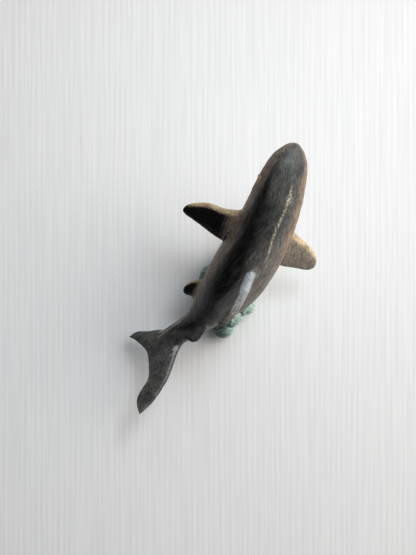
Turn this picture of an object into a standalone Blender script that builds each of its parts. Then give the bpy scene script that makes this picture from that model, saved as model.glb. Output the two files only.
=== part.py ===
"""Shark figurine swimming head up over a small coral base.

Every piece is a separate object in one world frame: +Z is up, +X runs from the tail towards the
head, and the origin is the centre of the underside of the pad that the base stands on.
Sizes are in millimetres and MM turns them into Blender's metres.
"""
import math

import bmesh
import bpy
import numpy as np

MM = 0.001
GAP = 0.3  # clearance between pieces that meet

# Shark: the spine as distance from the snout, then X, Y and Z
SPINE = (
    (0, 54.6, 12.3, 62.5),
    (14, 42.0, 8.6, 57.0),
    (27, 30.8, 5.1, 50.5),
    (48, 12.9, 2.1, 41.0),
    (62, -0.2, 1.6, 34.0),
    (72, -8.6, 2.5, 29.2),
    (84, -19.3, 3.9, 23.8),
    (96, -29.1, 7.8, 19.2),
    (108, -38.5, 13.6, 16.2),
)

# Shark: how far the back leans to its right at these distances from the snout
LEAN_AT = (0, 33, 60, 78, 90, 108)
LEAN_DEGREES = (20, 24, 23, 27, 44, 62)

# Shark: distance from the snout, then half the width, the rise above the spine and the drop below
GIRTH = (
    (0, 0, 0, 0),
    (1.5, 3.2, 2.6, 2.6),
    (5.5, 6.3, 5.2, 4.8),
    (14, 8.7, 7.9, 7.4),
    (22, 9.7, 9.7, 9.4),
    (33, 10.5, 11.4, 11.6),
    (50, 11.6, 12.2, 12.4),
    (64, 10.6, 11.2, 11.0),
    (75, 7.7, 8.8, 8.6),
    (85, 5.2, 6.1, 6.0),
    (94, 4.2, 5.3, 4.5),
    (101, 3.2, 4.5, 3.4),
    (105, 0, 0, 0),
)
SECTION_POWER = 2.15  # 2 is an ellipse, more is squarer
BODY_RINGS = 46
BODY_SIDES = 36

# Eyes: glass balls in sockets
EYE_AT = 15.2
EYE_ANGLE = -6
EYE_RADIUS = 1.6
EYE_PROUD = 0.6
EYE_SUBDIVISIONS = 3

# Mouth: a groove that follows the jaw under the snout
MOUTH_FRONT = 8.5
MOUTH_CORNER = 19
MOUTH_HALF_ANGLE = 62
MOUTH_GROOVE = 0.55
MOUTH_BEND = 1.6  # 1 is a V seen from below, more is rounder

# Gills: a row of grooves in front of each pectoral fin
GILL_COUNT = 5
GILL_SETBACK = 2.5  # from the mouth's corner to the first gill
GILL_PITCH = 1.9
GILL_GROOVE = 0.35
GILL_TOP_ANGLE = -26
GILL_BOTTOM_ANGLE = -54

# Fins that follow the spine: outlines as distance from the snout and height above the skin
DORSAL_ANGLE = 97  # round the body, 90 is the top of the back
DORSAL_LEAD = ((43.8, -2.5), (46.9, 0.7), (51.0, 4.4), (55.1, 8.2), (58.4, 11.0), (61.2, 12.7), (63.8, 13.2))
DORSAL_TRAIL = ((70.0, -2.5), (69.6, 0), (68.2, 2.8), (67.0, 5.6), (66.4, 8.6), (66.0, 11.2), (63.8, 13.2))
DORSAL_THICKNESS = 5.6
SECOND_LEAD = ((77.5, -2), (79.4, 0.5), (82, 2.1), (84.8, 3.3), (87.0, 3.7))
SECOND_TRAIL = ((91.2, -2), (91.2, 0.3), (90.6, 1.3), (89.4, 2.6), (87.0, 3.7))
SECOND_THICKNESS = 2.7
ANAL_LEAD = ((79, -2), (80.5, 0.6), (82.5, 1.8), (84.6, 2.6))
ANAL_TRAIL = ((86.6, -2), (86.6, 0.3), (86.2, 1.5), (84.6, 2.6))
ANAL_THICKNESS = 2.6

# Paired fins: place on the skin, angle from level, outline as distance back and distance out
PECTORAL_AT = 30
LEFT_PECTORAL_SEAT_ANGLE = 195
LEFT_PECTORAL_ANGLE = 200
LEFT_PECTORAL_LEAD = ((-1, -5), (0.4, 0.6), (1.9, 6.5), (1.9, 12), (4.0, 17.6), (6.5, 20.5), (8.4, 20.9))
LEFT_PECTORAL_TRAIL = ((14.2, -5), (14.6, 0.5), (14.0, 5.8), (12.1, 11.4), (10.6, 16), (9.4, 19.6),
                       (8.4, 20.9))
RIGHT_PECTORAL_SEAT_ANGLE = -12
RIGHT_PECTORAL_ANGLE = -8
RIGHT_PECTORAL_LEAD = ((0.5, -5), (2.8, 0.5), (6.3, 7.3), (9.4, 13.2), (13.6, 18.7), (16.6, 20.6),
                       (19.4, 20.9))
RIGHT_PECTORAL_TRAIL = ((17.5, -5), (19.2, 0.5), (20.5, 6.8), (20.6, 12), (21.0, 16.2), (20.7, 19.2),
                        (19.4, 20.9))
PECTORAL_THICKNESS = 3.3
PELVIC_AT = 70
PELVIC_SEAT_ANGLE = 32
PELVIC_ANGLE = 32
PELVIC_LEAD = ((-1.5, -3), (0.4, 0.8), (4.4, 3.3), (8.0, 4.0), (10.3, 3.3))
PELVIC_TRAIL = ((9.2, -3), (9.4, -0.6), (10.1, 0.7), (10.8, 1.8), (10.3, 3.3))
PELVIC_THICKNESS = 2.6

# Tail fin: both edges from the lower tip to the upper one, as distance back and distance up
TAIL_INSET = 1.0  # from the body's rear end forward to where both distances are 0
TAIL_LEAD = ((14.6, -6.8), (10.2, -7.6), (4.5, -5.6), (-2.5, -3.4), (-8.8, 3.0), (-5.9, 8.0),
             (-1.4, 14.8), (3.9, 20.9), (10.2, 25.7), (16, 28.4))
TAIL_TRAIL = ((14.6, -6.8), (11.8, -4.0), (9.2, -0.2), (7.8, 2.6), (7.6, 5.4), (8.1, 9.8),
              (9.6, 15.2), (13.2, 18.5), (16.2, 22.6), (16, 28.4))
TAIL_THICKNESS = 3.3

FIN_ROWS = 13
FIN_CHORD_STEPS = 8
FIN_TIP_SHARE = 0.25  # thickness just inside the tip, as a share of the root's
FIN_FRONT_POWER = 0.5  # 0.5 makes the front edge round
FIN_BACK_POWER = 0.75  # nearer 1 makes the back edge thinner

# Pins that join the fins to the body
PIN_RADIUS = 0.8
SMALL_PIN_RADIUS = 0.4
PIN_IN_BODY = 5.0
PIN_IN_FIN = 3.6
SMALL_PIN_IN_BODY = 2.4
SMALL_PIN_IN_FIN = 1.4
TAIL_PIN_IN_BODY = 4.0
TAIL_PIN_IN_FIN = 4.4
PIN_SIDES = 12
DORSAL_PIN_SETBACK = 6.9  # from where the leading edge leaves the skin
DORSAL_PIN_PITCH = 7.0
SECOND_PIN_SETBACK = 6.1
ANAL_PIN_SETBACK = 3.1
LEFT_PECTORAL_PIN_SETBACK = 6.1
RIGHT_PECTORAL_PIN_SETBACK = 8.2
PELVIC_PIN_SETBACK = 4.1

# Coral base: a mound on a slab, and round knobs as X, Y, Z and the three radii
SLAB_HALF_LENGTH = 20.0
SLAB_HALF_WIDTH = 11.5
SLAB_TOP = 5.5
SLAB_DRAFT = 1.6
MOUND_HALF_LENGTH = 11.5
MOUND_HALF_WIDTH = 6.0
MOUND_TOP = 16.0
KNOBS = (
    (-1.4, 9.0, 7.5, 6.8, 5.9, 6.8),
    (-3.4, -9.0, 8.0, 5.2, 5.3, 7.2),
    (-10.0, -7.2, 8.5, 6.0, 5.2, 6.8),
    (-16.4, -7.8, 6.0, 5.6, 5.0, 5.8),
    (-16.0, 0.2, 6.5, 5.4, 5.4, 6.2),
    (-8.0, 2.8, 10.0, 6.8, 5.6, 6.8),
    (-9.4, 6.4, 8.0, 5.0, 4.4, 6.0),
    (8.2, 8.4, 7.0, 5.8, 5.2, 6.4),
    (6.0, -6.6, 7.6, 6.2, 5.2, 7.0),
    (14.6, -5.4, 6.4, 5.6, 5.2, 6.0),
    (16.6, 4.6, 6.2, 5.2, 5.6, 5.8),
    (4.0, 0.6, 12.0, 7.0, 5.8, 10.0),
    (10.6, 1.6, 12.0, 6.0, 5.8, 11.0),
    (-1.6, 4.2, 15.4, 4.6, 4.2, 5.0),
    (1.0, -4.2, 14.0, 4.4, 4.2, 5.2),
    (6.0, 4.6, 20.0, 4.8, 4.4, 7.6),
    (6.8, -2.0, 20.0, 5.0, 4.6, 8.0),
    (12.6, 4.2, 20.5, 4.4, 4.4, 8.4),
    (13.0, -1.4, 20.5, 4.6, 4.4, 8.6),
)
KNOB_SUBDIVISIONS = 2
PAD_THICKNESS = 0.8
PAD_INSET = 1.4
FIN_CLEARANCE = 0.8  # between the base and a pelvic fin that hangs over it

# Steel rod from the base up into the belly
ROD_X = 8.0
ROD_Y = 1.6
ROD_RADIUS = 1.5
ROD_BOTTOM = 4.0
ROD_TOP = 33.0
ROD_SIDES = 24


def natural_spline(knots, values, at):
    """Smooth curve through values given at rising knots, read at other places."""
    x = np.asarray(knots, float)
    y = np.asarray(values, float)
    step = np.diff(x)
    count = len(x)
    matrix = np.eye(count)
    right = np.zeros_like(y)
    for i in range(1, count - 1):
        matrix[i, i - 1] = step[i - 1]
        matrix[i, i] = 2 * (step[i - 1] + step[i])
        matrix[i, i + 1] = step[i]
        right[i] = 6 * ((y[i + 1] - y[i]) / step[i] - (y[i] - y[i - 1]) / step[i - 1])
    bend = np.linalg.solve(matrix, right)
    at = np.atleast_1d(np.asarray(at, float))
    k = np.clip(np.searchsorted(x, at) - 1, 0, count - 2)
    width = step[k][:, None]
    after = (at - x[k])[:, None]
    before = width - after
    curve = (bend[k] * before**3 + bend[k + 1] * after**3) / (6 * width)
    curve += (y[k] / width - bend[k] * width / 6) * before
    curve += (y[k + 1] / width - bend[k + 1] * width / 6) * after
    return curve


def column(table, first, last):
    """Columns of a table of stations as an array."""
    return np.array([row[first:last] for row in table], float)


def spine_point(distance):
    return natural_spline(column(SPINE, 0, 1)[:, 0], column(SPINE, 1, 4), distance)[0]


def spine_axes(distance):
    """Unit vectors towards the head, to the shark's right and out of its back."""
    ahead = spine_point(distance - 0.2) - spine_point(distance + 0.2)
    ahead /= np.linalg.norm(ahead)
    level_up = np.array((0, 0, 1.0)) - ahead * ahead[2]
    level_up /= np.linalg.norm(level_up)
    level_right = np.cross(ahead, level_up)
    degrees = natural_spline(LEAN_AT, np.array(LEAN_DEGREES, float)[:, None], distance)[0, 0]
    lean = math.radians(degrees)
    right = math.cos(lean) * level_right - math.sin(lean) * level_up
    up = math.cos(lean) * level_up + math.sin(lean) * level_right
    return ahead, right, up


def body_length():
    return GIRTH[-1][0]


def station_angle(distance):
    """Distance along the body as an angle, so that both ends come out round."""
    share = np.clip(np.asarray(distance, float) / body_length(), 0, 1)
    return np.arccos(1 - 2 * share)


def girth(distance):
    """Half width, rise and drop of the section at a distance from the snout."""
    knots = station_angle(column(GIRTH, 0, 1)[:, 0])
    sizes = natural_spline(knots, column(GIRTH, 1, 4), station_angle(distance))[0]
    return np.maximum(sizes, 0.0)


def skin_point(distance, degrees, grow=0.0):
    """Point on the skin: 0 degrees is the right side, 90 the back and 270 the belly."""
    ahead, right, up = spine_axes(distance)
    half_width, rise, drop = girth(distance) + grow
    across = math.cos(math.radians(degrees))
    along = math.sin(math.radians(degrees))
    power = 2 / SECTION_POWER
    height = rise if along > 0 else drop
    side = half_width * math.copysign(abs(across) ** power, across)
    lift = height * math.copysign(abs(along) ** power, along)
    return spine_point(distance) + right * side + up * lift


def lofted(rows, first_pole=None, last_pole=None):
    """Points and faces of a skin over closed rows; an end without a pole gets one flat face."""
    points = [tuple(p) for row in rows for p in row]
    sides = len(rows[0])
    faces = []
    for i in range(len(rows) - 1):
        for j in range(sides):
            k = (j + 1) % sides
            faces.append((i * sides + j, i * sides + k, (i + 1) * sides + k, (i + 1) * sides + j))
    last = (len(rows) - 1) * sides
    if first_pole is None:
        faces.append(tuple(reversed(range(sides))))
    else:
        points.append(tuple(first_pole))
        faces += [((j + 1) % sides, j, len(points) - 1) for j in range(sides)]
    if last_pole is None:
        faces.append(tuple(last + j for j in range(sides)))
    else:
        points.append(tuple(last_pole))
        faces += [(last + j, last + (j + 1) % sides, len(points) - 1) for j in range(sides)]
    return points, faces


def body_shape(grow=0.0):
    """The shark's body from snout to tail root, grown outwards where asked."""
    turns = np.linspace(0, math.pi, BODY_RINGS + 2)[1:-1]
    degrees = np.linspace(0, 360, BODY_SIDES, endpoint=False)
    rows = []
    for turn in turns:
        distance = body_length() * (1 - math.cos(turn)) / 2
        rows.append([skin_point(distance, angle, grow) for angle in degrees])
    snout = spine_point(0) + spine_axes(0)[0] * grow
    tail = spine_point(body_length()) - spine_axes(body_length())[0] * grow
    return lofted(rows, snout, tail)


def spine_sheet(degrees):
    """Surface that follows the body at an angle: distance from the snout, height, thickness."""
    across = math.cos(math.radians(degrees))
    lift = math.sin(math.radians(degrees))

    def place(along, height, thickness):
        right, up = spine_axes(along)[1:]
        out = right * across + up * lift
        side = right * lift - up * across
        return skin_point(along, degrees) + out * height + side * thickness

    return place


def flat_sheet(origin, back, out):
    """Flat plane: distance back, distance out, thickness."""
    normal = np.cross(out, back)

    def place(along, height, thickness):
        return origin + back * along + out * height + normal * thickness

    return place


def side_sheet(distance, seat, angle):
    """Plane of a paired fin that is seated on the skin and stands out at an angle."""
    ahead, right, up = spine_axes(distance)
    out = right * math.cos(math.radians(angle)) + up * math.sin(math.radians(angle))
    return flat_sheet(skin_point(distance, seat), -ahead, out)


def tail_sheet():
    distance = body_length() - TAIL_INSET
    ahead, right, up = spine_axes(distance)
    return flat_sheet(spine_point(distance), -ahead, up)


def edge_curve(points, share):
    knots = np.linspace(0, 1, len(points))
    return natural_spline(knots, np.array(points, float), share)[0]


def chord_swell(share):
    """Thickness across the chord: 0 at both edges and 1 where it is greatest."""
    greatest = FIN_FRONT_POWER / (FIN_FRONT_POWER + FIN_BACK_POWER)
    full = greatest**FIN_FRONT_POWER * (1 - greatest) ** FIN_BACK_POWER
    return share**FIN_FRONT_POWER * (1 - share) ** FIN_BACK_POWER / full


def fin_row(place, lead, trail, half_thickness):
    """One closed section of a fin, round in front and thin behind."""
    chord = [(1 - math.cos(math.pi * i / FIN_CHORD_STEPS)) / 2 for i in range(FIN_CHORD_STEPS + 1)]

    def point(share, side):
        along, height = lead + (trail - lead) * share
        return place(along, height, side * half_thickness * chord_swell(share))

    near = [point(share, 1) for share in chord]
    far = [point(share, -1) for share in reversed(chord[1:-1])]
    return near + far


def fin_shape(place, lead, trail, thickness, both_tips=False):
    """Fin between a leading and a trailing edge, from its root (or other tip) to its tip."""
    rows = []
    for i in range(1, FIN_ROWS):
        turn = i / FIN_ROWS
        share = (1 - math.cos(math.pi * turn)) / 2 if both_tips else math.sin(math.pi * turn / 2)
        thin = 1 - (2 * share - 1) ** 2 if both_tips else (1 - share) ** 0.7
        half = thickness / 2 * (FIN_TIP_SHARE + (1 - FIN_TIP_SHARE) * thin) * min(1.0, thin * 4) ** 0.5
        rows.append(fin_row(place, edge_curve(lead, share), edge_curve(trail, share), half))
    tip = place(*lead[-1], 0)
    if both_tips:
        return lofted(rows, place(*lead[0], 0), tip)
    root = fin_row(place, np.array(lead[0], float), np.array(trail[0], float), thickness / 2)
    return lofted([root] + rows, None, tip)


def tube_shape(path, radius, sides=6):
    """Closed tube along a list of points, square at its ends."""
    path = [np.array(p, float) for p in path]
    rows = []
    for i, point in enumerate(path):
        ahead = path[min(i + 1, len(path) - 1)] - path[max(i - 1, 0)]
        ahead /= np.linalg.norm(ahead)
        helper = np.array((0, 0, 1.0)) if abs(ahead[2]) < 0.8 else np.array((1.0, 0, 0))
        across = np.cross(ahead, helper)
        across /= np.linalg.norm(across)
        other = np.cross(ahead, across)
        turns = [2 * math.pi * j / sides for j in range(sides)]
        rows.append([point + radius * (across * math.cos(a) + other * math.sin(a)) for a in turns])
    return lofted(rows)


def ball_shape(centre, radii, subdivisions):
    mesh = bmesh.new()
    bmesh.ops.create_icosphere(mesh, subdivisions=subdivisions, radius=1.0)
    points = [tuple(np.array(centre) + np.array(v.co) * np.array(radii)) for v in mesh.verts]
    faces = [tuple(v.index for v in f.verts) for f in mesh.faces]
    mesh.free()
    return points, faces


def add_object(name, shape):
    """Object in the scene from points in millimetres, its faces turned outwards."""
    points, faces = shape
    data = bpy.data.meshes.new(name)
    data.from_pydata([tuple(MM * c for c in p) for p in points], [], faces)
    mesh = bmesh.new()
    mesh.from_mesh(data)
    bmesh.ops.recalc_face_normals(mesh, faces=mesh.faces)
    mesh.to_mesh(data)
    mesh.free()
    item = bpy.data.objects.new(name, data)
    bpy.context.collection.objects.link(item)
    return item


def combine(target, shape, operation="DIFFERENCE"):
    """Cut a shape out of an object, or join it on."""
    tool = add_object("tool", shape)
    step = target.modifiers.new("Combine", "BOOLEAN")
    step.solver = "EXACT"
    step.operation = operation
    step.object = tool
    bpy.context.view_layer.update()
    graph = bpy.context.evaluated_depsgraph_get()
    result = bpy.data.meshes.new_from_object(target.evaluated_get(graph))
    target.modifiers.clear()
    target.data = result
    result.name = target.name
    bpy.data.objects.remove(tool)


def finish(item, colour, roughness, metallic=0.0, sharp=40):
    """Give a piece its material and smooth shading."""
    material = bpy.data.materials.new(item.name + "_finish")
    material.use_nodes = True
    shader = material.node_tree.nodes["Principled BSDF"]
    shader.inputs["Base Color"].default_value = (*colour, 1)
    shader.inputs["Roughness"].default_value = roughness
    shader.inputs["Metallic"].default_value = metallic
    item.data.materials.clear()
    item.data.materials.append(material)
    item.data.shade_smooth()
    item.data.set_sharp_from_angle(angle=math.radians(sharp))


SLATE = (0.075, 0.075, 0.08)
FIN_GREY = (0.09, 0.085, 0.08)
CORAL_GREEN = (0.22, 0.42, 0.36)
STEEL = (0.55, 0.55, 0.56)
AMBER = (0.45, 0.2, 0.03)
FELT_GREY = (0.05, 0.05, 0.05)


def fin_table():
    """Name, sheet, leading edge, trailing edge, thickness and tips of every fin."""
    left = side_sheet(PECTORAL_AT, LEFT_PECTORAL_SEAT_ANGLE, LEFT_PECTORAL_ANGLE)
    right = side_sheet(PECTORAL_AT, RIGHT_PECTORAL_SEAT_ANGLE, RIGHT_PECTORAL_ANGLE)
    left_pelvic = side_sheet(PELVIC_AT, 180 + PELVIC_SEAT_ANGLE, 180 + PELVIC_ANGLE)
    right_pelvic = side_sheet(PELVIC_AT, -PELVIC_SEAT_ANGLE, -PELVIC_ANGLE)
    return {
        "first_dorsal_fin": (spine_sheet(DORSAL_ANGLE), DORSAL_LEAD, DORSAL_TRAIL, DORSAL_THICKNESS),
        "second_dorsal_fin": (spine_sheet(90), SECOND_LEAD, SECOND_TRAIL, SECOND_THICKNESS),
        "anal_fin": (spine_sheet(270), ANAL_LEAD, ANAL_TRAIL, ANAL_THICKNESS),
        "left_pectoral_fin": (left, LEFT_PECTORAL_LEAD, LEFT_PECTORAL_TRAIL, PECTORAL_THICKNESS),
        "right_pectoral_fin": (right, RIGHT_PECTORAL_LEAD, RIGHT_PECTORAL_TRAIL, PECTORAL_THICKNESS),
        "left_pelvic_fin": (left_pelvic, PELVIC_LEAD, PELVIC_TRAIL, PELVIC_THICKNESS),
        "right_pelvic_fin": (right_pelvic, PELVIC_LEAD, PELVIC_TRAIL, PELVIC_THICKNESS),
        "caudal_fin": (tail_sheet(), TAIL_LEAD, TAIL_TRAIL, TAIL_THICKNESS),
    }


def pin_line(place, along, below, above):
    """Ends of a pin that crosses the skin at a place on a fin's sheet."""
    skin = place(along, 0, 0)
    out = place(along, 1, 0) - skin
    return skin - out * below, skin + out * above


def pin_in(fin, sheet, setback, small=False):
    """Ends, radius and fin of a pin set back from where the fin's leading edge leaves the skin."""
    place, lead = sheet[:2]
    below, above = (SMALL_PIN_IN_BODY, SMALL_PIN_IN_FIN) if small else (PIN_IN_BODY, PIN_IN_FIN)
    radius = SMALL_PIN_RADIUS if small else PIN_RADIUS
    return pin_line(place, lead[1][0] + setback, below, above), radius, fin


def pin_table(fins):
    """Ends, radius and fin of every pin, by the pin's name."""
    rear = DORSAL_PIN_SETBACK + DORSAL_PIN_PITCH
    seats = (
        ("first_dorsal_front", "first_dorsal_fin", DORSAL_PIN_SETBACK, False),
        ("first_dorsal_rear", "first_dorsal_fin", rear, False),
        ("second_dorsal", "second_dorsal_fin", SECOND_PIN_SETBACK, True),
        ("anal", "anal_fin", ANAL_PIN_SETBACK, True),
        ("left_pectoral", "left_pectoral_fin", LEFT_PECTORAL_PIN_SETBACK, False),
        ("right_pectoral", "right_pectoral_fin", RIGHT_PECTORAL_PIN_SETBACK, False),
        ("left_pelvic", "left_pelvic_fin", PELVIC_PIN_SETBACK, True),
        ("right_pelvic", "right_pelvic_fin", PELVIC_PIN_SETBACK, True),
    )
    pins = {name: pin_in(fin, fins[fin], setback, small) for name, fin, setback, small in seats}
    tail = fins["caudal_fin"][0]
    ends = (tail(-TAIL_PIN_IN_BODY, 0, 0), tail(TAIL_PIN_IN_FIN, 0, 0))
    pins["caudal"] = (ends, SMALL_PIN_RADIUS, "caudal_fin")
    return pins


def bore_shape(ends, radius, sides=PIN_SIDES):
    """Hole round a pin, wider and deeper than it by the gap."""
    start, end = ends
    reach = (end - start) / np.linalg.norm(end - start) * GAP
    return tube_shape((start - reach, end + reach), radius + GAP, sides)


def eye_place(side_degrees):
    """Centre of an eye ball, sunk in the skin so that only its face stands proud."""
    right, up = spine_axes(EYE_AT)[1:]
    turn = math.radians(side_degrees)
    out = right * math.cos(turn) + up * math.sin(turn)
    return skin_point(EYE_AT, side_degrees) - out * (EYE_RADIUS - EYE_PROUD)


def mouth_path():
    steps = np.linspace(-1, 1, 17)
    reach = MOUTH_CORNER - MOUTH_FRONT
    return [skin_point(MOUTH_FRONT + reach * abs(t) ** MOUTH_BEND, 270 + MOUTH_HALF_ANGLE * t) for t in steps]


def gill_path(distance, left):
    """Line of a gill down one flank."""
    angles = np.linspace(GILL_TOP_ANGLE, GILL_BOTTOM_ANGLE, 6)
    return [skin_point(distance, 180 - a if left else a) for a in angles]


def rod_ends():
    return np.array((ROD_X, ROD_Y, ROD_BOTTOM)), np.array((ROD_X, ROD_Y, ROD_TOP))


def make_body(pins):
    body = add_object("body", body_shape())
    cuts = [tube_shape(mouth_path(), MOUTH_GROOVE)]
    for k in range(GILL_COUNT):
        distance = MOUTH_CORNER + GILL_SETBACK + GILL_PITCH * k
        cuts += [tube_shape(gill_path(distance, left), GILL_GROOVE, 5) for left in (True, False)]
    cuts += [bore_shape(ends, radius) for ends, radius, fin in pins.values()]
    cuts.append(bore_shape(rod_ends(), ROD_RADIUS, ROD_SIDES))
    for angle in (180 - EYE_ANGLE, EYE_ANGLE):
        cuts.append(ball_shape(eye_place(angle), (EYE_RADIUS + GAP,) * 3, EYE_SUBDIVISIONS))
    for cut in cuts:
        combine(body, cut)
    finish(body, SLATE, 0.35)


def make_fins(fins, pins):
    for name, sheet in fins.items():
        fin = add_object(name, fin_shape(*sheet, both_tips=name == "caudal_fin"))
        combine(fin, body_shape(GAP))
        for ends, radius, owner in pins.values():
            if owner == name:
                combine(fin, bore_shape(ends, radius))
        finish(fin, FIN_GREY, 0.4)


def make_pins(pins):
    for name, (ends, radius, fin) in pins.items():
        pin = add_object(name + "_pin", tube_shape(ends, radius, PIN_SIDES))
        finish(pin, STEEL, 0.3, 1.0)


def make_eyes():
    for side, angle in (("left", 180 - EYE_ANGLE), ("right", EYE_ANGLE)):
        eye = add_object(side + "_eye", ball_shape(eye_place(angle), (EYE_RADIUS,) * 3, EYE_SUBDIVISIONS))
        finish(eye, AMBER, 0.08, sharp=180)


def oval_row(half_length, half_width, height, sides=40):
    """Rounded oblong outline at a height."""
    power = 2 / 2.6
    row = []
    for j in range(sides):
        turn = 2 * math.pi * j / sides
        x = half_length * math.copysign(abs(math.cos(turn)) ** power, math.cos(turn))
        y = half_width * math.copysign(abs(math.sin(turn)) ** power, math.sin(turn))
        row.append((x, y, height))
    return row


def base_bottom():
    return PAD_THICKNESS + GAP


def shifted(points, back, out):
    return tuple((along + back, height + out) for along, height in points)


def fin_room(place, lead, trail, thickness):
    """Space round a fin that the base keeps clear of."""
    room = FIN_CLEARANCE
    return fin_shape(place, shifted(lead, -room, room), shifted(trail, room, room), thickness + 2 * room)


def make_base(fins):
    bottom = oval_row(SLAB_HALF_LENGTH, SLAB_HALF_WIDTH, base_bottom())
    shoulder = oval_row(SLAB_HALF_LENGTH - SLAB_DRAFT, SLAB_HALF_WIDTH - SLAB_DRAFT, SLAB_TOP)
    top = oval_row(MOUND_HALF_LENGTH, MOUND_HALF_WIDTH, MOUND_TOP)
    base = add_object("coral_base", lofted([bottom, shoulder, top]))
    for x, y, z, *radii in KNOBS:
        combine(base, ball_shape((x, y, z), radii, KNOB_SUBDIVISIONS), "UNION")
    reach = 4 * SLAB_HALF_LENGTH
    under = [oval_row(reach, reach, height) for height in (-reach, base_bottom())]
    combine(base, lofted(under))
    combine(base, body_shape(GAP))
    for side in ("left", "right"):
        combine(base, fin_room(*fins[side + "_pelvic_fin"]))
    combine(base, bore_shape(rod_ends(), ROD_RADIUS, ROD_SIDES))
    finish(base, CORAL_GREEN, 0.75, sharp=60)


def make_pad():
    length = SLAB_HALF_LENGTH - PAD_INSET
    width = SLAB_HALF_WIDTH - PAD_INSET
    pad = add_object("felt_pad", lofted([oval_row(length, width, 0), oval_row(length, width, PAD_THICKNESS)]))
    finish(pad, FELT_GREY, 0.95)


def make_rod():
    rod = add_object("support_rod", tube_shape(rod_ends(), ROD_RADIUS, ROD_SIDES))
    finish(rod, STEEL, 0.3, 1.0)


def main():
    for item in list(bpy.data.objects):
        bpy.data.objects.remove(item)
    fins = fin_table()
    pins = pin_table(fins)
    make_body(pins)
    make_fins(fins, pins)
    make_pins(pins)
    make_eyes()
    make_base(fins)
    make_pad()
    make_rod()


main()
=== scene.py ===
"""The looks of a shark figurine on a coral base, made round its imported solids.

The shark is one sculpted skin over the body and its fins, taken from the same stations as the
solids. Shapes are worked out in millimetres, and MM turns them into Blender's metres.
"""
import math

import bpy
import numpy as np
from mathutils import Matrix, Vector, noise
from mathutils.bvhtree import BVHTree


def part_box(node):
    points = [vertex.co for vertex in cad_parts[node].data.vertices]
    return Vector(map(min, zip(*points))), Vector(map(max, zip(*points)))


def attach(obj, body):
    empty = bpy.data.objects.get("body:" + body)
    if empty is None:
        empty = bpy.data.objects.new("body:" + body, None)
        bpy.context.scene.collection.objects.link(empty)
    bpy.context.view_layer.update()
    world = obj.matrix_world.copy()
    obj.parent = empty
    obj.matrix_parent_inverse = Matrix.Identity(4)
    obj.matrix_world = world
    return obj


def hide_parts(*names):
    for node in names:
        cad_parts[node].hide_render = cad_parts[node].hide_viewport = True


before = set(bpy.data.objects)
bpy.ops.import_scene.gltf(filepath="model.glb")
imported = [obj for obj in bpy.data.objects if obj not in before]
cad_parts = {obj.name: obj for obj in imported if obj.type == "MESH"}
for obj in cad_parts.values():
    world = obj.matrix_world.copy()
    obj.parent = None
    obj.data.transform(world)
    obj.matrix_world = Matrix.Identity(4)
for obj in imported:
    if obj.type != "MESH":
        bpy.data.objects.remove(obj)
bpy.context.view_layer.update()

MM = 0.001

# The shark's stations, as in the solids: distance from the snout, then X, Y and Z of the spine
SPINE = (
    (0, 54.6, 12.3, 62.5),
    (14, 42.0, 8.6, 57.0),
    (27, 30.8, 5.1, 50.5),
    (48, 12.9, 2.1, 41.0),
    (62, -0.2, 1.6, 34.0),
    (72, -8.6, 2.5, 29.2),
    (84, -19.3, 3.9, 23.8),
    (96, -29.1, 7.8, 19.2),
    (108, -38.5, 13.6, 16.2),
)
# How far the back leans to the shark's right, at distances from the snout
LEAN_AT = (0, 33, 60, 78, 90, 108)
LEAN_DEGREES = (20, 24, 23, 27, 44, 62)
# Distance from the snout, then half width, rise and drop of the section
GIRTH = (
    (0, 0, 0, 0),
    (1.5, 3.2, 2.6, 2.6),
    (5.5, 6.3, 5.2, 4.8),
    (14, 8.7, 7.9, 7.4),
    (22, 9.7, 9.7, 9.4),
    (33, 10.5, 11.4, 11.6),
    (50, 11.6, 12.2, 12.4),
    (64, 10.6, 11.2, 11.0),
    (75, 7.7, 8.8, 8.6),
    (85, 5.2, 6.1, 6.0),
    (94, 4.2, 5.3, 4.5),
    (101, 3.2, 4.5, 3.4),
    (105, 0, 0, 0),
)
SECTION_POWER = 2.15  # 2 would be an ellipse, and more comes nearer to a box
BODY_LENGTH = 105
SKIN_RINGS = 150
SKIN_SIDES = 110
TANGENT_REACH = 0.2  # to each side of a place, to see which way the spine runs there
BACK_ANGLE = 90  # degrees round the body from its right side, as for every angle on it
BELLY_ANGLE = 270

# Fins that follow the spine: distance from the snout and height above the skin
DORSAL_ANGLE = 97
DORSAL_LEAD = ((43.8, -2.5), (46.9, 0.7), (51.0, 4.4), (55.1, 8.2), (58.4, 11.0), (61.2, 12.7),
               (63.8, 13.2))
DORSAL_TRAIL = ((70.0, -2.5), (69.6, 0), (68.2, 2.8), (67.0, 5.6), (66.4, 8.6), (66.0, 11.2),
                (63.8, 13.2))
SECOND_LEAD = ((77.5, -2), (79.4, 0.5), (82, 2.1), (84.8, 3.3), (87.0, 3.7))
SECOND_TRAIL = ((91.2, -2), (91.2, 0.3), (90.6, 1.3), (89.4, 2.6), (87.0, 3.7))
ANAL_LEAD = ((79, -2), (80.5, 0.6), (82.5, 1.8), (84.6, 2.6))
ANAL_TRAIL = ((86.6, -2), (86.6, 0.3), (86.2, 1.5), (84.6, 2.6))

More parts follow.
